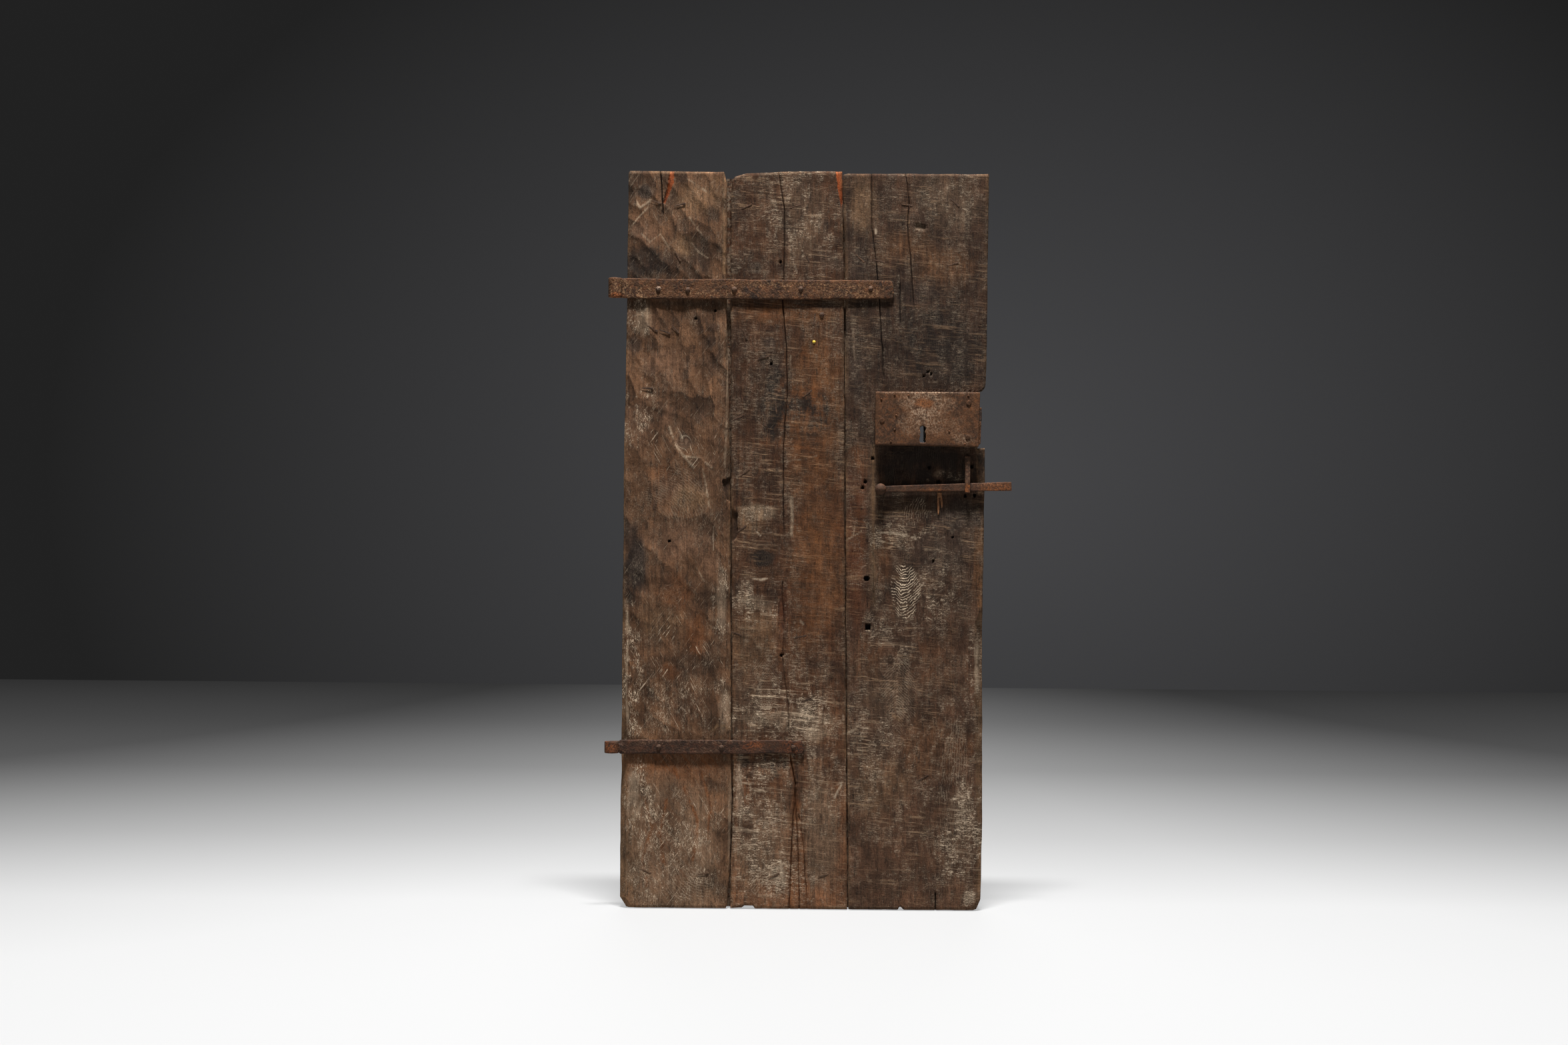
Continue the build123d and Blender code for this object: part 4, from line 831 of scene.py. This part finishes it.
# Lock plank: the widest board, notched for the lock
lockLeft = [(0.632, 0.0), (0.625, 0.167), (0.612, 0.60), (0.608, 0.836), (0.599, 1.0)]
lockNotch = [(0.7120, 0.8785), (0.71350, 0.8785), (0.71355, 0.8612), (0.84895, 0.8612), (0.8490, 0.8700),
             (0.8530, 0.8755), (0.8640, 0.8785)]  # height, place
lockPlank = {
    "name": "sawnLockPlank", "node": "lock_plank", "slot": "lock_pine", "seed": 29.0,
    "cols": 176, "rows": 480, "base": paint(70, 48, 34), "sawDeep": 0.0003,
    "marks": (0.20, 0.48, 0.45, 0.04, 0.06, 0.0),
    "paintedLightGains": [(258, 0.82), (330, 0.74), (430, 0.62), (520, 0.55), (585, 0.64), (760, 0.8), (900, 0.97),
              (1060, 1.15), (1200, 1.3), (1360, 1.65)],
    "left": swapped(lockLeft),
    "right": swapped([(0.985, 0.0), (0.997, 0.012), (1.001, 0.116), (0.996, 0.41), (0.999, 0.60)])
    + lockNotch + swapped([(1.001, 0.762), (1.003, 1.0)]),
    "rowStops": [0.71352, 0.84898],
    "top": onLeaf([(0.599, 0.997), (0.612, 0.999), (1.003, 1.0)]),
    "foot": onLeaf([(0.632, 0.0), (0.768, 0.0), (0.772, 0.004), (0.776, 0.004), (0.784, 0.0), (0.975, 0.0),
                    (1.0, 0.003)]),
    "gates": [(0.7186, 0.7350, 0.7225, 0.7667)],
    "knots": [(1331, 992, 12, 0.45), (1400, 560, 9, 0.4), (1350, 690, 8, 0.3)],
    "cracks": [
        {"line": [(1307, 255), (1308, 339), (1313, 383), (1320, 457), (1327, 592)], "half": 0.0017,
         "deep": 0.005, "openTop": True, "shade": 0.6},
        {"line": [(1358, 255), (1364, 306), (1361, 340), (1366, 389), (1372, 470)], "half": 0.0017,
         "deep": 0.005, "openTop": True, "shade": 0.6},
        {"line": [(1350, 422), (1350, 450), (1351, 490)], "half": 0.0018, "deep": 0.004},
        {"line": [(1403, 1338), (1403, 1366)], "half": 0.0022, "deep": 0.006, "openFoot": True},
        {"line": [(1310, 668), (1310, 800), (1311, 925)], "half": 0.0016, "deep": 0.0015,
         "shade": 0.4, "edgeTint": "tan", "openTop": True},
    ],
    "scars": [],
    "holes": [
        (1300, 868, 0.0060, 0), (1302, 941, 0.0060, 1), (1309, 688, 0.0036, 0), (1298, 723, 0.0034, 0),
        (1294, 732, 0.0034, 0), (1462, 743, 0.0034, 0), (1392, 558, 0.0022, 0), (1397, 561, 0.002, 0),
        (1386, 564, 0.002, 0), (1429, 806, 0.002, 0), (1400, 842, 0.002, 0), (1408, 724, 0.005, 0),
        (1394, 701, 0.003, 0), (1448, 744, 0.003, 0), (1457, 700, 0.004, 1),
    ],
    "scratches": [
        ("cream", 0.8, 0.0018, 0, [(1315, 798), (1340, 800), (1362, 804), (1374, 808)]),
        ("pale", 0.8, 0.0016, 0, [(1316, 812), (1338, 815), (1348, 818)]),
        ("pale", 0.7, 0.0013, 0, [(1318, 774), (1346, 778)]),
        ("pale", 0.8, 0.0015, 0, [(1270, 810), (1281, 804), (1292, 797)]),
        ("pale", 0.7, 0.0012, 0, [(1282, 788), (1280, 804)]),
        ("pale", 0.8, 0.0022, 0, [(1376, 722), (1384, 719), (1394, 720)]),
        ("grey", 0.7, 0.0060, 0, [(1405, 712), (1420, 706), (1434, 712)]),
        ("tan", 0.5, 0.0040, 0, [(1466, 676), (1466, 700), (1470, 740)]),
        ("pale", 0.7, 0.0015, 0, [(1388, 824), (1405, 824), (1412, 828)]),
        ("warm", 0.7, 0.0040, 0, [(1472, 795), (1473, 850), (1470, 908)]),
        ("cream", 0.8, 0.0016, 0, [(1314, 336), (1314, 350)]),
        ("tan", 0.8, 0.0026, 0, [(1362, 320), (1363, 334)]),
        ("worn", 0.6, 0.0042, 0.003, [(1376, 340), (1386, 342)]),
        ("pale", 0.2, 0.0030, 0, [(1278, 474), (1282, 540)]),
        ("tan", 0.7, 0.0030, 0, [(1340, 1074), (1350, 1080)]),
        ("cream", 0.6, 0.0020, 0, [(1270, 1100), (1284, 1094)]),
        ("tan", 0.6, 0.0022, 0, [(1256, 1140), (1290, 1132)]),
        ("cream", 0.75, 0.0046, 0, [(1465, 968), (1466, 1034)]),
        ("cream", 0.8, 0.0020, 0, [(1452, 1190), (1455, 1204)]),
    ],
    "curls": [
        {"patch": (1361, 888, 24, 40), "arms": [(1343, 0), (1351, 9), (1361, 7), (1371, -2), (1381, -12),
                                                 (1400, -20)], "pitch": 4.6, "amount": 1.0},
        {"patch": (1374, 768, 20, 22), "heart": (1404, 776, 0.8), "pitch": 3.4, "amount": 0.35},
        {"patch": (1348, 1040, 26, 60), "arms": [(1310, 24), (1330, 6), (1346, -8), (1362, 8), (1384, 30)],
         "pitch": 4.4, "amount": 0.2},
        {"patch": (1428, 1180, 24, 110), "heart": (1560, 1170, 0.35), "pitch": 3.6, "amount": 0.15},
    ],
    "patches": [
        ("black", 1420, 540, 50, 44, 0.55), ("black", 1420, 480, 40, 26, 0.4),
        ("smoke", 1286, 560, 14, 50, 0.5), ("deepRed", 1284, 720, 18, 40, 0.6),
        ("deepRed", 1284, 800, 18, 66, 0.8), ("deepRed", 1284, 890, 18, 56, 0.8),
        # painted shadow under the lock, partly grime: the black patch at row 684, the black one at row 708
        # and the dark one at row 716; the black patch at row 457 is painted shadow under the upper strap,
        # partly dirt
        ("red", 1290, 690, 20, 26, 0.5), ("black", 1390, 684, 84, 17, 0.95),
        ("black", 1340, 708, 30, 16, 0.6), ("dark", 1400, 716, 60, 16, 0.6), ("black", 1310, 457, 40, 6, 0.6),
        ("dark", 1400, 760, 80, 22, 0.6), ("smoke", 1440, 775, 40, 30, 0.7),
        ("smoke", 1420, 830, 50, 40, 0.5), ("dark", 1340, 760, 26, 26, 0.5), ("dark", 1352, 850, 30, 24, 0.5),
        ("red", 1326, 840, 14, 40, 0.4), ("warm", 1468, 850, 10, 60, 0.6), ("black", 1356, 890, 20, 34, 0.5),
        ("dark", 1331, 992, 12, 9, 0.7), ("tan", 1294, 310, 20, 46, 0.4), ("grey", 1420, 300, 50, 40, 0.35),
        ("warm", 1350, 370, 50, 30, 0.35), ("warm", 1420, 400, 46, 30, 0.35),
        ("smoke", 1380, 440, 30, 20, 0.4), ("smoke", 1288, 400, 14, 26, 0.5), ("red", 1300, 990, 26, 40, 0.4),
        ("dark", 1430, 900, 30, 40, 0.4), ("red", 1400, 1000, 40, 60, 0.25), ("red", 1452, 1120, 14, 22, 0.6),
        ("warm", 1400, 1120, 50, 50, 0.3), ("grey", 1330, 1050, 44, 60, 0.35),
        ("tan", 1320, 1180, 44, 60, 0.3), ("grey", 1440, 1240, 30, 60, 0.4),
        ("dark", 1330, 1310, 50, 34, 0.35), ("dark", 1412, 1330, 24, 24, 0.3),
        ("cream", 1452, 1346, 9, 9, 0.5),
    ],
    "washes": [
        ("fleck", 1355, 800, 56, 26, 0.6), ("fleck", 1404, 890, 34, 50, 0.5),
        ("fleck", 1440, 1245, 40, 70, 1.5), ("fleck", 1464, 1000, 16, 50, 0.9),
        ("fleck", 1452, 1346, 14, 12, 1.3), ("fleck", 1430, 300, 50, 40, 0.2),
        ("fleck", 1330, 950, 40, 60, 0.5), ("stain", 1420, 530, 70, 60, 0.8),
        # the stain wash at row 700 is painted shadow under the lock, partly grime
        ("stain", 1390, 700, 90, 40, 0.9), ("stain", 1400, 470, 70, 60, 0.5), ("saw", 1294, 320, 24, 70, 0.8),
        ("saw", 1350, 800, 60, 40, 0.8), ("saw", 1430, 820, 40, 50, 0.5), ("vein", 1410, 900, 50, 60, 0.5),
        ("smear", 1284, 820, 18, 120, 0.5), ("fleck", 1300, 1100, 40, 80, 0.3),
        ("fleck", 1370, 1180, 120, 190, 0.22), ("saw", 1340, 1120, 90, 170, 0.45),
        # the saw and fleck washes taken away at rows 705 keep the painted shadow under the lock dark
        ("stain", 1284, 820, 20, 140, -0.4), ("saw", 1390, 705, 90, 45, -0.5),
        ("fleck", 1390, 705, 90, 40, -0.4), ("fleck", 1425, 712, 24, 12, 0.9),
    ],
    "bevels": [{"side": "right", "legs": [(905, 0.0), (935, 0.020), (1060, 0.020), (1365, 0.012)],
                "tint": "tan", "pull": 0.35}],
    "look": {**middlePlank["look"], "name": "lockPine", "sawPull": 0.70, "sawTint": woodTints["tan"] * 1.1,
             "sawTilt": 0.10, "brush": (90, 100, 370), "slash": (0.5, -0.6),
             "paleTint": woodTints["cream"] * 1.35, "smearTint": woodTints["red"]},
}
for plank in (hingePlank, middlePlank, lockPlank):
    makePlank(plank)

# Tongues of the middle plank, which show in the open joints
tongue = {"near": 0.0327, "far": 0.0467, "lap": 0.001, "lift": 0.003, "short": 0.018, "rows": 120,
          "tint": woodTints["dark"], "marks": (0.2, 0.3, 0.0), "lines": (0.2, 0.0, 0.4)}


def makeTongue(name, left, right):
    bm = bmesh.new()
    bmesh.ops.create_grid(bm, x_segments=2, y_segments=tongue["rows"], size=0.5)
    for vert in bm.verts:
        high = leafFoot + tongue["lift"] + (vert.co.y + 0.5) * (leafHeight - tongue["short"])
        low, far = float(lineAt(swapped(left), high)), float(lineAt(swapped(right), high))
        across = low - tongue["lap"] + (vert.co.x + 0.5) * (far - low + 2 * tongue["lap"])
        vert.co = (across, tongue["near"], high)
    closeBack(bm, tongue["far"])
    mesh = meshFrom(bm, name)
    storeLook(mesh, tongue["tint"], tongue["marks"], placesOf(mesh), tongue["lines"])
    placePiece(mesh, name, makeWood(middlePlank["look"]), middlePlank["node"])


makeTongue("hingeSideTongue", hingeRight[:-1] + [(0.277, 1.0)], middleLeft)
makeTongue("lockSideTongue", middleRight, lockLeft)


def nodeCopy(node):  # merged copy of a solid's mesh
    bm = bmesh.new()
    bm.from_mesh(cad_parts[node].data)
    bmesh.ops.remove_doubles(bm, verts=bm.verts, dist=0.00001)
    return meshFrom(bm, node + "Copy")


def baked(carrier):  # mesh of a helper object with its modifier applied
    bpy.context.view_layer.update()
    made = bpy.data.meshes.new_from_object(carrier.evaluated_get(bpy.context.evaluated_depsgraph_get()))
    bpy.data.objects.remove(carrier)
    return made


def remeshed(mesh, voxel, turns=2):  # even skin over a copy, with edges worn by about one cell
    carrier = inScene("carrier", mesh)
    skin = carrier.modifiers.new("skin", "REMESH")
    skin.mode = "VOXEL"
    skin.voxel_size = voxel
    made = baked(carrier)
    bm = bmesh.new()
    bm.from_mesh(made)
    for turn in range(turns):
        bmesh.ops.smooth_vert(bm, verts=bm.verts, factor=0.5, use_axis_x=True, use_axis_y=True,
                              use_axis_z=True)
    bm.to_mesh(made)
    bm.free()
    return made


def cutThrough(mesh, piece):  # the keyhole with its round eye and worn slot
    through = 0.2  # longer than the case is deep
    bm = bmesh.new()
    for px, py, halfWide, halfHigh in piece["cuts"]:
        x, z = fromPhoto(px, py)
        size = Matrix.Diagonal((halfWide * (2 * pixel), through, halfHigh * (2 * pixel), 1.0))
        bmesh.ops.create_cube(bm, size=1.0, matrix=Matrix.Translation((x, 0.0, z)) @ size)
    px, py, radius = piece["eye"]
    x, z = fromPhoto(px, py)
    turned = Matrix.Translation((x, 0.0, z)) @ Matrix.Rotation(math.pi / 2, 4, "X")
    radius = radius * pixel
    bmesh.ops.create_cone(bm, cap_ends=True, segments=32, radius1=radius, radius2=radius, depth=through,
                          matrix=turned)
    carrier = inScene("carrier", mesh)
    cutter = inScene("cutter", meshFrom(bm, "keyholeCutter"))
    bite = carrier.modifiers.new("bite", "BOOLEAN")
    bite.operation = "DIFFERENCE"
    bite.solver = "EXACT"
    bite.use_self = True
    bite.object = cutter
    made = baked(carrier)
    bpy.data.objects.remove(cutter)
    return made


def paintMarks(places, patches, seed):
    marks = np.zeros((len(places), 3))
    for index, (mark, *patch, amount) in enumerate(patches):
        marks[:, ironMarks[mark]] += amount * softPatch(places[:, 0], places[:, 2], patch, seed + index)
    return np.clip(marks, 0, 1.4)


def forge(piece):  # iron piece: even skin, hammer waves and rust pits
    mesh = nodeCopy(piece["node"])
    if "cuts" in piece:
        mesh = cutThrough(mesh, piece)
    voxel, hammer, wave, pit = piece["skin"]
    mesh = remeshed(mesh, voxel, piece.get("turns", 2))
    places = placesOf(mesh)
    seed = piece["seed"]
    wide = places[:, 0] + 0.61 * places[:, 1]  # depth is mixed in, so that sides get waves too
    high = places[:, 2] + 0.53 * places[:, 1]
    lift = hammer * roughNoise(wide * wave, high * wave, seed, 3)
    lift = lift - pit * np.clip(roughNoise(wide * pitPitch, high * pitPitch, seed + 5, 3) - 0.1, 0, 1)
    places = pushOut(mesh, lift)
    if "sunk" in piece:  # points beaten flush with the face
        proud = places[:, 1] < faceY
        places[proud, 1] = faceY + (places[proud, 1] - faceY) * piece["sunk"]
    if "edgeWave" in piece:
        places[:, 2] += piece["edgeWave"] * roughNoise(places[:, 0] * 13, places[:, 0] * 0, seed + 8, 4)
    movePoints(mesh, places)
    storeLook(mesh, marks=paintMarks(places, piece.get("patches", []), seed))
    body = piece.get("body", "leaf")
    placePiece(mesh, piece["name"], rusts[piece["rust"]], piece["node"], body)


pitPitch = 210  # rust pits a metre
ironMarks = {"pale": 0, "orange": 1, "dark": 2}
ironLooks = {  # pull of the rust, pull of the flakes, bump, soft step, then the five tints of makeIron
    "strapRust": (0.7, 0.28, 0.8, 0.05,
        (38, 24, 15), (73, 47, 28), (96, 57, 31), (142, 110, 80), (146, 78, 34)),
    "lowerStrapRust": (0.55, 0.10, 0.7, 0.05,
        (38, 25, 18), (60, 40, 28), (84, 49, 30), (114, 90, 72), (150, 82, 40)),
    "lockRust": (0.7, 0.16, 0.3, 0.15,
        (48, 29, 15), (75, 46, 24), (97, 55, 25), (152, 127, 104), (118, 66, 26)),
    "latchRust": (0.45, 0.10, 0.4, 0.1,
        (40, 27, 19), (64, 43, 29), (90, 53, 31), (122, 94, 74), (154, 88, 40)),
    "nailRust": (0.5, 0.18, 0.6, 0.05,
        (46, 32, 23), (78, 55, 40), (92, 60, 39), (156, 134, 116), (140, 80, 40)),
    "clenchRust": (0.5, 0.15, 0.6, 0.05,
        (48, 34, 25), (74, 54, 40), (84, 57, 38), (126, 106, 88), (120, 70, 36)),
    "footClenchRust": (0.5, 0.15, 0.6, 0.05,
        (64, 48, 36), (98, 75, 57), (104, 74, 52), (140, 118, 98), (126, 76, 40)),
    "boltRust": (0.4, 0.1, 0.4, 0.05,
        (36, 27, 22), (60, 46, 37), (84, 54, 38), (112, 96, 84), (126, 72, 38)),
    "pinRust": (0.4, 0.3, 0.4, 0.05,
        (104, 68, 42), (146, 102, 68), (156, 98, 58), (192, 156, 122), (168, 98, 52)),
}
rusts = {name: makeIron(name, *look) for name, look in ironLooks.items()}

# Iron pieces; skin: cell, height of the hammer waves, waves a metre, depth of the pits
strapNails = {"slot": "nail_iron", "rust": "nailRust", "skin": (0.0011, 0.0007, 110, 0.0003)}
clenches = {"slot": "nail_iron", "rust": "clenchRust", "sunk": 0.14, "skin": (0.0016, 0.0008, 110, 0.0003)}
lockParts = {"slot": "lock_iron", "rust": "lockRust"}
latchParts = {"slot": "latch_iron", "rust": "latchRust"}
boltParts = {"slot": "bolt_iron", "rust": "boltRust"}
ironWork = [
    {"name": "upperStrapForged", "node": "upper_strap", "slot": "strap_iron", "rust": "strapRust",
     "seed": 5.0, "skin": (0.0018, 0.0008, 38, 0.0012), "edgeWave": 0.0014,
     "patches": [
         ("pale", 928, 432, 16, 16, 0.8), ("pale", 965, 440, 24, 12, 0.7), ("pale", 1080, 440, 50, 8, 0.4),
         ("orange", 925, 445, 10, 5, 0.6), ("pale", 1280, 438, 50, 10, 0.5), ("dark", 1130, 449, 60, 4, 0.6),
         # the dark strips at row 449 are painted shade along the strap's lower edge
         ("dark", 1010, 449, 40, 4, 0.5), ("pale", 1180, 428, 90, 4, 0.5)]},
    {"name": "lowerStrapForged", "node": "lower_strap", "slot": "lower_strap_iron", "rust": "lowerStrapRust",
     "seed": 7.0, "skin": (0.0017, 0.0005, 38, 0.0006), "edgeWave": 0.0010,
     "patches": [
         ("orange", 1190, 1122, 20, 12, 0.22), ("orange", 915, 1122, 12, 12, 0.4),
         ("pale", 928, 1120, 10, 10, 0.6), ("orange", 1130, 1118, 16, 8, 0.35),
         ("pale", 1000, 1112, 60, 5, 0.6), ("pale", 1090, 1112, 50, 5, 0.6),
         ("pale", 1060, 1124, 60, 4, 0.4)]},
    {**lockParts, "name": "lockCaseRusted", "node": "lock_case", "seed": 9.0, "turns": 1,
     "skin": (0.0014, 0.0004, 26, 0.00015), "eye": (1383.2, 644.6, 4.2),
     "cuts": [
         (1383.4, 650.0, 1.8, 2.0), (1382.2, 657.6, 1.0, 6.7), (1383.0, 652.4, 4.3, 1.5),
         (1384.4, 654.9, 2.9, 1.2), (1383.0, 657.3, 4.2, 1.6), (1380.6, 660.0, 2.3, 1.2),
         (1383.0, 662.8, 4.2, 1.6)],
     "patches": [
         ("pale", 1390, 612, 40, 26, 0.9), ("pale", 1375, 635, 30, 20, 0.6),
         # painted highlight along the top edge at row 590.5; painted shade along the bottom edge at row 668
         ("pale", 1390, 590.5, 78, 2.4, 0.9), ("dark", 1390, 668, 78, 3, 0.6),
         ("orange", 1388, 606, 16, 8, 1.0), ("pale", 1447, 660, 18, 10, 0.7),
         ("dark", 1385, 662, 40, 6, 0.3), ("pale", 1420, 640, 30, 20, 0.3)]},
    {**lockParts, "name": "lockForendRough", "node": "lock_forend", "seed": 10.0,
     "skin": (0.0010, 0.0012, 90, 0.0008)},
    {**lockParts, "name": "lockRivetHeads", "node": "lock_rivets", "seed": 11.0,
     "skin": (0.0006, 0.0001, 160, 0.0002)},
    {**lockParts, "name": "lockNailHeads", "node": "lock_nails", "seed": 12.0,
     "skin": (0.0009, 0.0003, 120, 0.0002)},
    {**boltParts, "name": "lockBoltWorn", "node": "lock_bolt", "seed": 13.0,
     "skin": (0.0010, 0.00005, 40, 0.0002), "body": "bolt"},
    {**latchParts, "name": "latchBarForged", "node": "latch_bar", "seed": 14.0,
     "skin": (0.0013, 0.0003, 45, 0.0005), "body": "latch",
     "patches": [
         ("orange", 1495, 733, 26, 10, 0.4), ("pale", 1480, 728, 40, 4, 0.6),
         ("orange", 1400, 737, 30, 5, 0.3)]},
    {**latchParts, "name": "latchPivotDome", "node": "latch_pivot", "seed": 15.0,
     "skin": (0.0010, 0.0005, 70, 0.0004)},
    {**latchParts, "name": "latchWasherOld", "node": "latch_washer", "seed": 16.0,
     "skin": (0.0008, 0.0003, 90, 0.0003)},
    {**latchParts, "name": "latchStapleForged", "node": "latch_staple", "seed": 18.0,
     "skin": (0.0010, 0.0004, 60, 0.0003),
     "patches": [("pale", 1450, 705, 8, 24, 0.6), ("orange", 1450, 733, 8, 8, 0.5)]},
    {"name": "splitPinLegs", "node": "split_pin", "slot": "pin_iron", "rust": "pinRust", "seed": 19.0,
     "skin": (0.0008, 0.0004, 120, 0.0003)},
    {**clenches, "name": "upperLedgeNailsForged", "node": "upper_ledge_nails", "seed": 21.0},
    {**clenches, "name": "lowerLedgeNailsForged", "node": "lower_ledge_nails", "seed": 22.0},
    {**clenches, "name": "footLedgeNailsForged", "node": "foot_ledge_nails", "seed": 23.0,
     "rust": "footClenchRust"},
    {**strapNails, "name": "upperStrapNailsForged", "node": "upper_strap_nails", "seed": 24.0,
     "patches": [("pale", 987, 436, 8, 8, 1.4)]},
    {**strapNails, "name": "lowerStrapNailsForged", "node": "lower_strap_nails", "seed": 25.0},
    {**clenches, "name": "strayNailsBent", "node": "stray_nails", "seed": 26.0,
     "skin": (0.0014, 0.0008, 110, 0.0003)},
    {**strapNails, "name": "domeNailHead", "node": "dome_nail", "seed": 27.0,
     "skin": (0.0006, 0.0004, 110, 0.0003)},
    {**boltParts, "name": "keyBridgeOld", "node": "key_bridge", "seed": 28.0,
     "skin": (0.0014, 0.0002, 60, 0.0002)},
    {**boltParts, "name": "boltSpringOld", "node": "bolt_spring", "seed": 29.0,
     "skin": (0.0008, 0.0001, 60, 0.0001)},
]
for piece in ironWork:
    forge(piece)

# Ledges across the back
ledge = {
    "voxel": 0.0068, "wave": 0.0008, "base": paint(84, 65, 50), "slot": "ledge_pine",
    "marks": (0.4, 0.3, 0.3), "lines": (0.3, 0.1, 0.0),
    "boards": {"upper_ledge": "upperLedgeBoard", "lower_ledge": "lowerLedgeBoard",
               "foot_ledge": "footLedgeBoard"},
    "look": {"name": "ledgePine", "sawPull": 0.35, "sawTint": woodTints["tan"], "sawTilt": 0.0,
             "palePull": 0.6, "grit": 0.3, "brush": (190, 100, 300), "slash": (0.5, -0.6),
             "paleTint": woodTints["pale"], "darkTint": woodTints["black"],
             "smearTint": woodTints["red"], "bump": 0.5},
}
ledgeWood = makeWood(ledge["look"])
for index, (node, name) in enumerate(ledge["boards"].items()):
    mesh = remeshed(nodeCopy(node), ledge["voxel"])
    places = placesOf(mesh)
    places = pushOut(mesh, ledge["wave"] * roughNoise(places[:, 0] * 4, places[:, 2] * 24, 41 + index, 4))
    movePoints(mesh, places)
    x, y, z = places.T
    tone = ledge["base"] * (1 + 0.25 * roughNoise(x * 5, z * 20, 51 + index, 4))[:, None]
    storeLook(mesh, tone, ledge["marks"], np.c_[z, y, x + 3 * index], ledge["lines"])
    placePiece(mesh, name, ledgeWood, node)

# Yellow headed pin
pinHead = {"name": "yellowPin", "node": "marker_pin", "slot": "marker", "voxel": 0.0004,
           "tint": paint(226, 190, 60), "shadeTint": paint(150, 110, 30)}
material, tree, shader = newMaterial("yellowPinHead")
dust = grainNoise(ownPlace(tree), (700, 700, 700), 3.0, 0.6)
plug(shader, {"Base Color": mixTint(band(dust, 0.5, 0.75), pinHead["tint"], pinHead["shadeTint"]),
              "Roughness": band(dust, 0.3, 0.7, 0.3, 0.5)})
mesh = remeshed(nodeCopy(pinHead["node"]), pinHead["voxel"])
placePiece(mesh, pinHead["name"], material, pinHead["node"])

# Stage, light and camera
floorZ = leafFoot - 0.0015
wallY = 8.48
wallTop = 7
stageSide = 9
floorMiddle = 0.7  # centre of the painted light pool, where the floor is brightest
rampStart, rampEnd = -1.0, 8.5


def stagePlane(name, corners, material):
    bm = bmesh.new()
    bm.faces.new([bm.verts.new(corner) for corner in corners])
    plane = inScene(name, meshFrom(bm, name))
    plane.data.materials.append(material)


paintedFloorFalloff = {  # share of the way along the ramp: levels of the paint and of its own glow, a painted falloff of light towards the wall
    0.0: (0.19, 0.44), 0.12: (0.195, 0.418), 0.26: (0.150, 0.275), 0.48: (0.103, 0.120), 0.70: (0.092, 0.072),
    0.87: (0.087, 0.046), 1.0: (0.065, 0.034)}
material, tree, shader = newMaterial("paleFloor")
place = addNode(tree, "ShaderNodeSeparateXYZ", {0: ownPlace(tree)}).outputs
ramps = []
for turn in range(2):
    item = addNode(tree, "ShaderNodeValToRGB", {0: band(place[1], rampStart, rampEnd)})
    steps = item.color_ramp.elements
    for at, levels in paintedFloorFalloff.items():
        step = steps[-int(at)] if at in (0.0, 1.0) else steps.new(at)
        step.color = asTint([levels[turn]] * 3)
    ramps.append(item.outputs[0])
away = calc("ABSOLUTE", calc("SUBTRACT", place[0], floorMiddle), 0.0)
away = times(away, plus(times(place[1], 0.17), 0.4))
paintedSideFalloff = band(away, 0.5, 3.4, 1.0, 0.30)  # painted light falloff: the floor darkens to the sides
rays = addNode(tree, "ShaderNodeLightPath").outputs
seen = plus(rays["Is Camera Ray"], rays["Is Glossy Ray"])
seen = calc("MINIMUM", plus(seen, rays["Is Transmission Ray"]), 1.0)
plug(shader, {"Base Color": mixTint(seen, (0.20, 0.20, 0.20), shaded(ramps[0], paintedSideFalloff)), "Roughness": 0.7,
              "Emission Color": shaded(ramps[1], paintedSideFalloff), "Emission Strength": seen})
corners = [(-stageSide, -stageSide), (stageSide, -stageSide), (stageSide, wallY), (-stageSide, wallY)]
stagePlane("studioFloor", [(x, y, floorZ) for x, y in corners], material)

material, tree, shader = newMaterial("greyBackdrop")
# painted pool of light on the backdrop, given as its own glow, bright in the middle and darker outwards
sockets = {"Vector": ownPlace(tree), "Location": (-0.15, 0, -0.13), "Scale": (0.115, 0.0, 0.16)}
mapped = addNode(tree, "ShaderNodeMapping", sockets).outputs[0]
glow = addNode(tree, "ShaderNodeTexGradient", {0: mapped}, gradient_type="SPHERICAL").outputs[1]
glow = mixTint(band(glow, 0.42, 0.97), (0.0155, 0.0155, 0.0155), (0.060, 0.060, 0.063))
plug(shader, {"Base Color": asTint((0, 0, 0)), "Specular IOR Level": 0.0, "Emission Color": glow,
              "Emission Strength": 1.0})
corners = [(-stageSide, floorZ), (stageSide, floorZ), (stageSide, wallTop), (-stageSide, wallTop)]
stagePlane("studioWall", [(x, wallY, z) for x, z in corners], material)

lamps = {
    "topKey": {"place": (0.42, -1.95, 8.6), "aim": (0.43, 0.0, 0.5), "size": (1.8, 0.7), "watts": 2050},
    "frontFill": {"place": (0.4, -5.5, 2.0), "aim": (0.43, 0.0, 0.5), "size": (3.0, 2.0), "watts": 14},
    "backFill": {"place": (0.4, 5.0, 2.4), "aim": (0.43, 0.06, 0.6), "size": (3.0, 2.0), "watts": 40},
}


def areaLight(name, place, aim, size, watts):
    lamp = bpy.data.lights.new(name, "AREA")
    lamp.shape = "RECTANGLE"
    lamp.size, lamp.size_y = size
    lamp.energy = watts
    item = inScene(name, lamp)
    item.location = place
    item.rotation_euler = (Vector(aim) - Vector(place)).to_track_quat("-Z", "Y").to_euler()


for name, lamp in lamps.items():
    areaLight(name, **lamp)
print("stage and lamps set")

world = bpy.data.worlds.new("studioAir")
world.use_nodes = True
plug(world.node_tree.nodes["Background"], {"Color": (1, 1, 1, 1), "Strength": 0.05})
bpy.context.scene.world = world

lens = bpy.data.cameras.new("photoCamera")
lens.lens = 60
lens.sensor_width = 36
camera = inScene("photoCamera", lens)
camera.location = (0.4033, -6.1775, 0.5344)
camera.rotation_euler = (math.pi / 2, -photoTurn, 0)
bpy.context.scene.camera = camera
bpy.context.scene.view_settings.view_transform = "Standard"

print("scene ready")
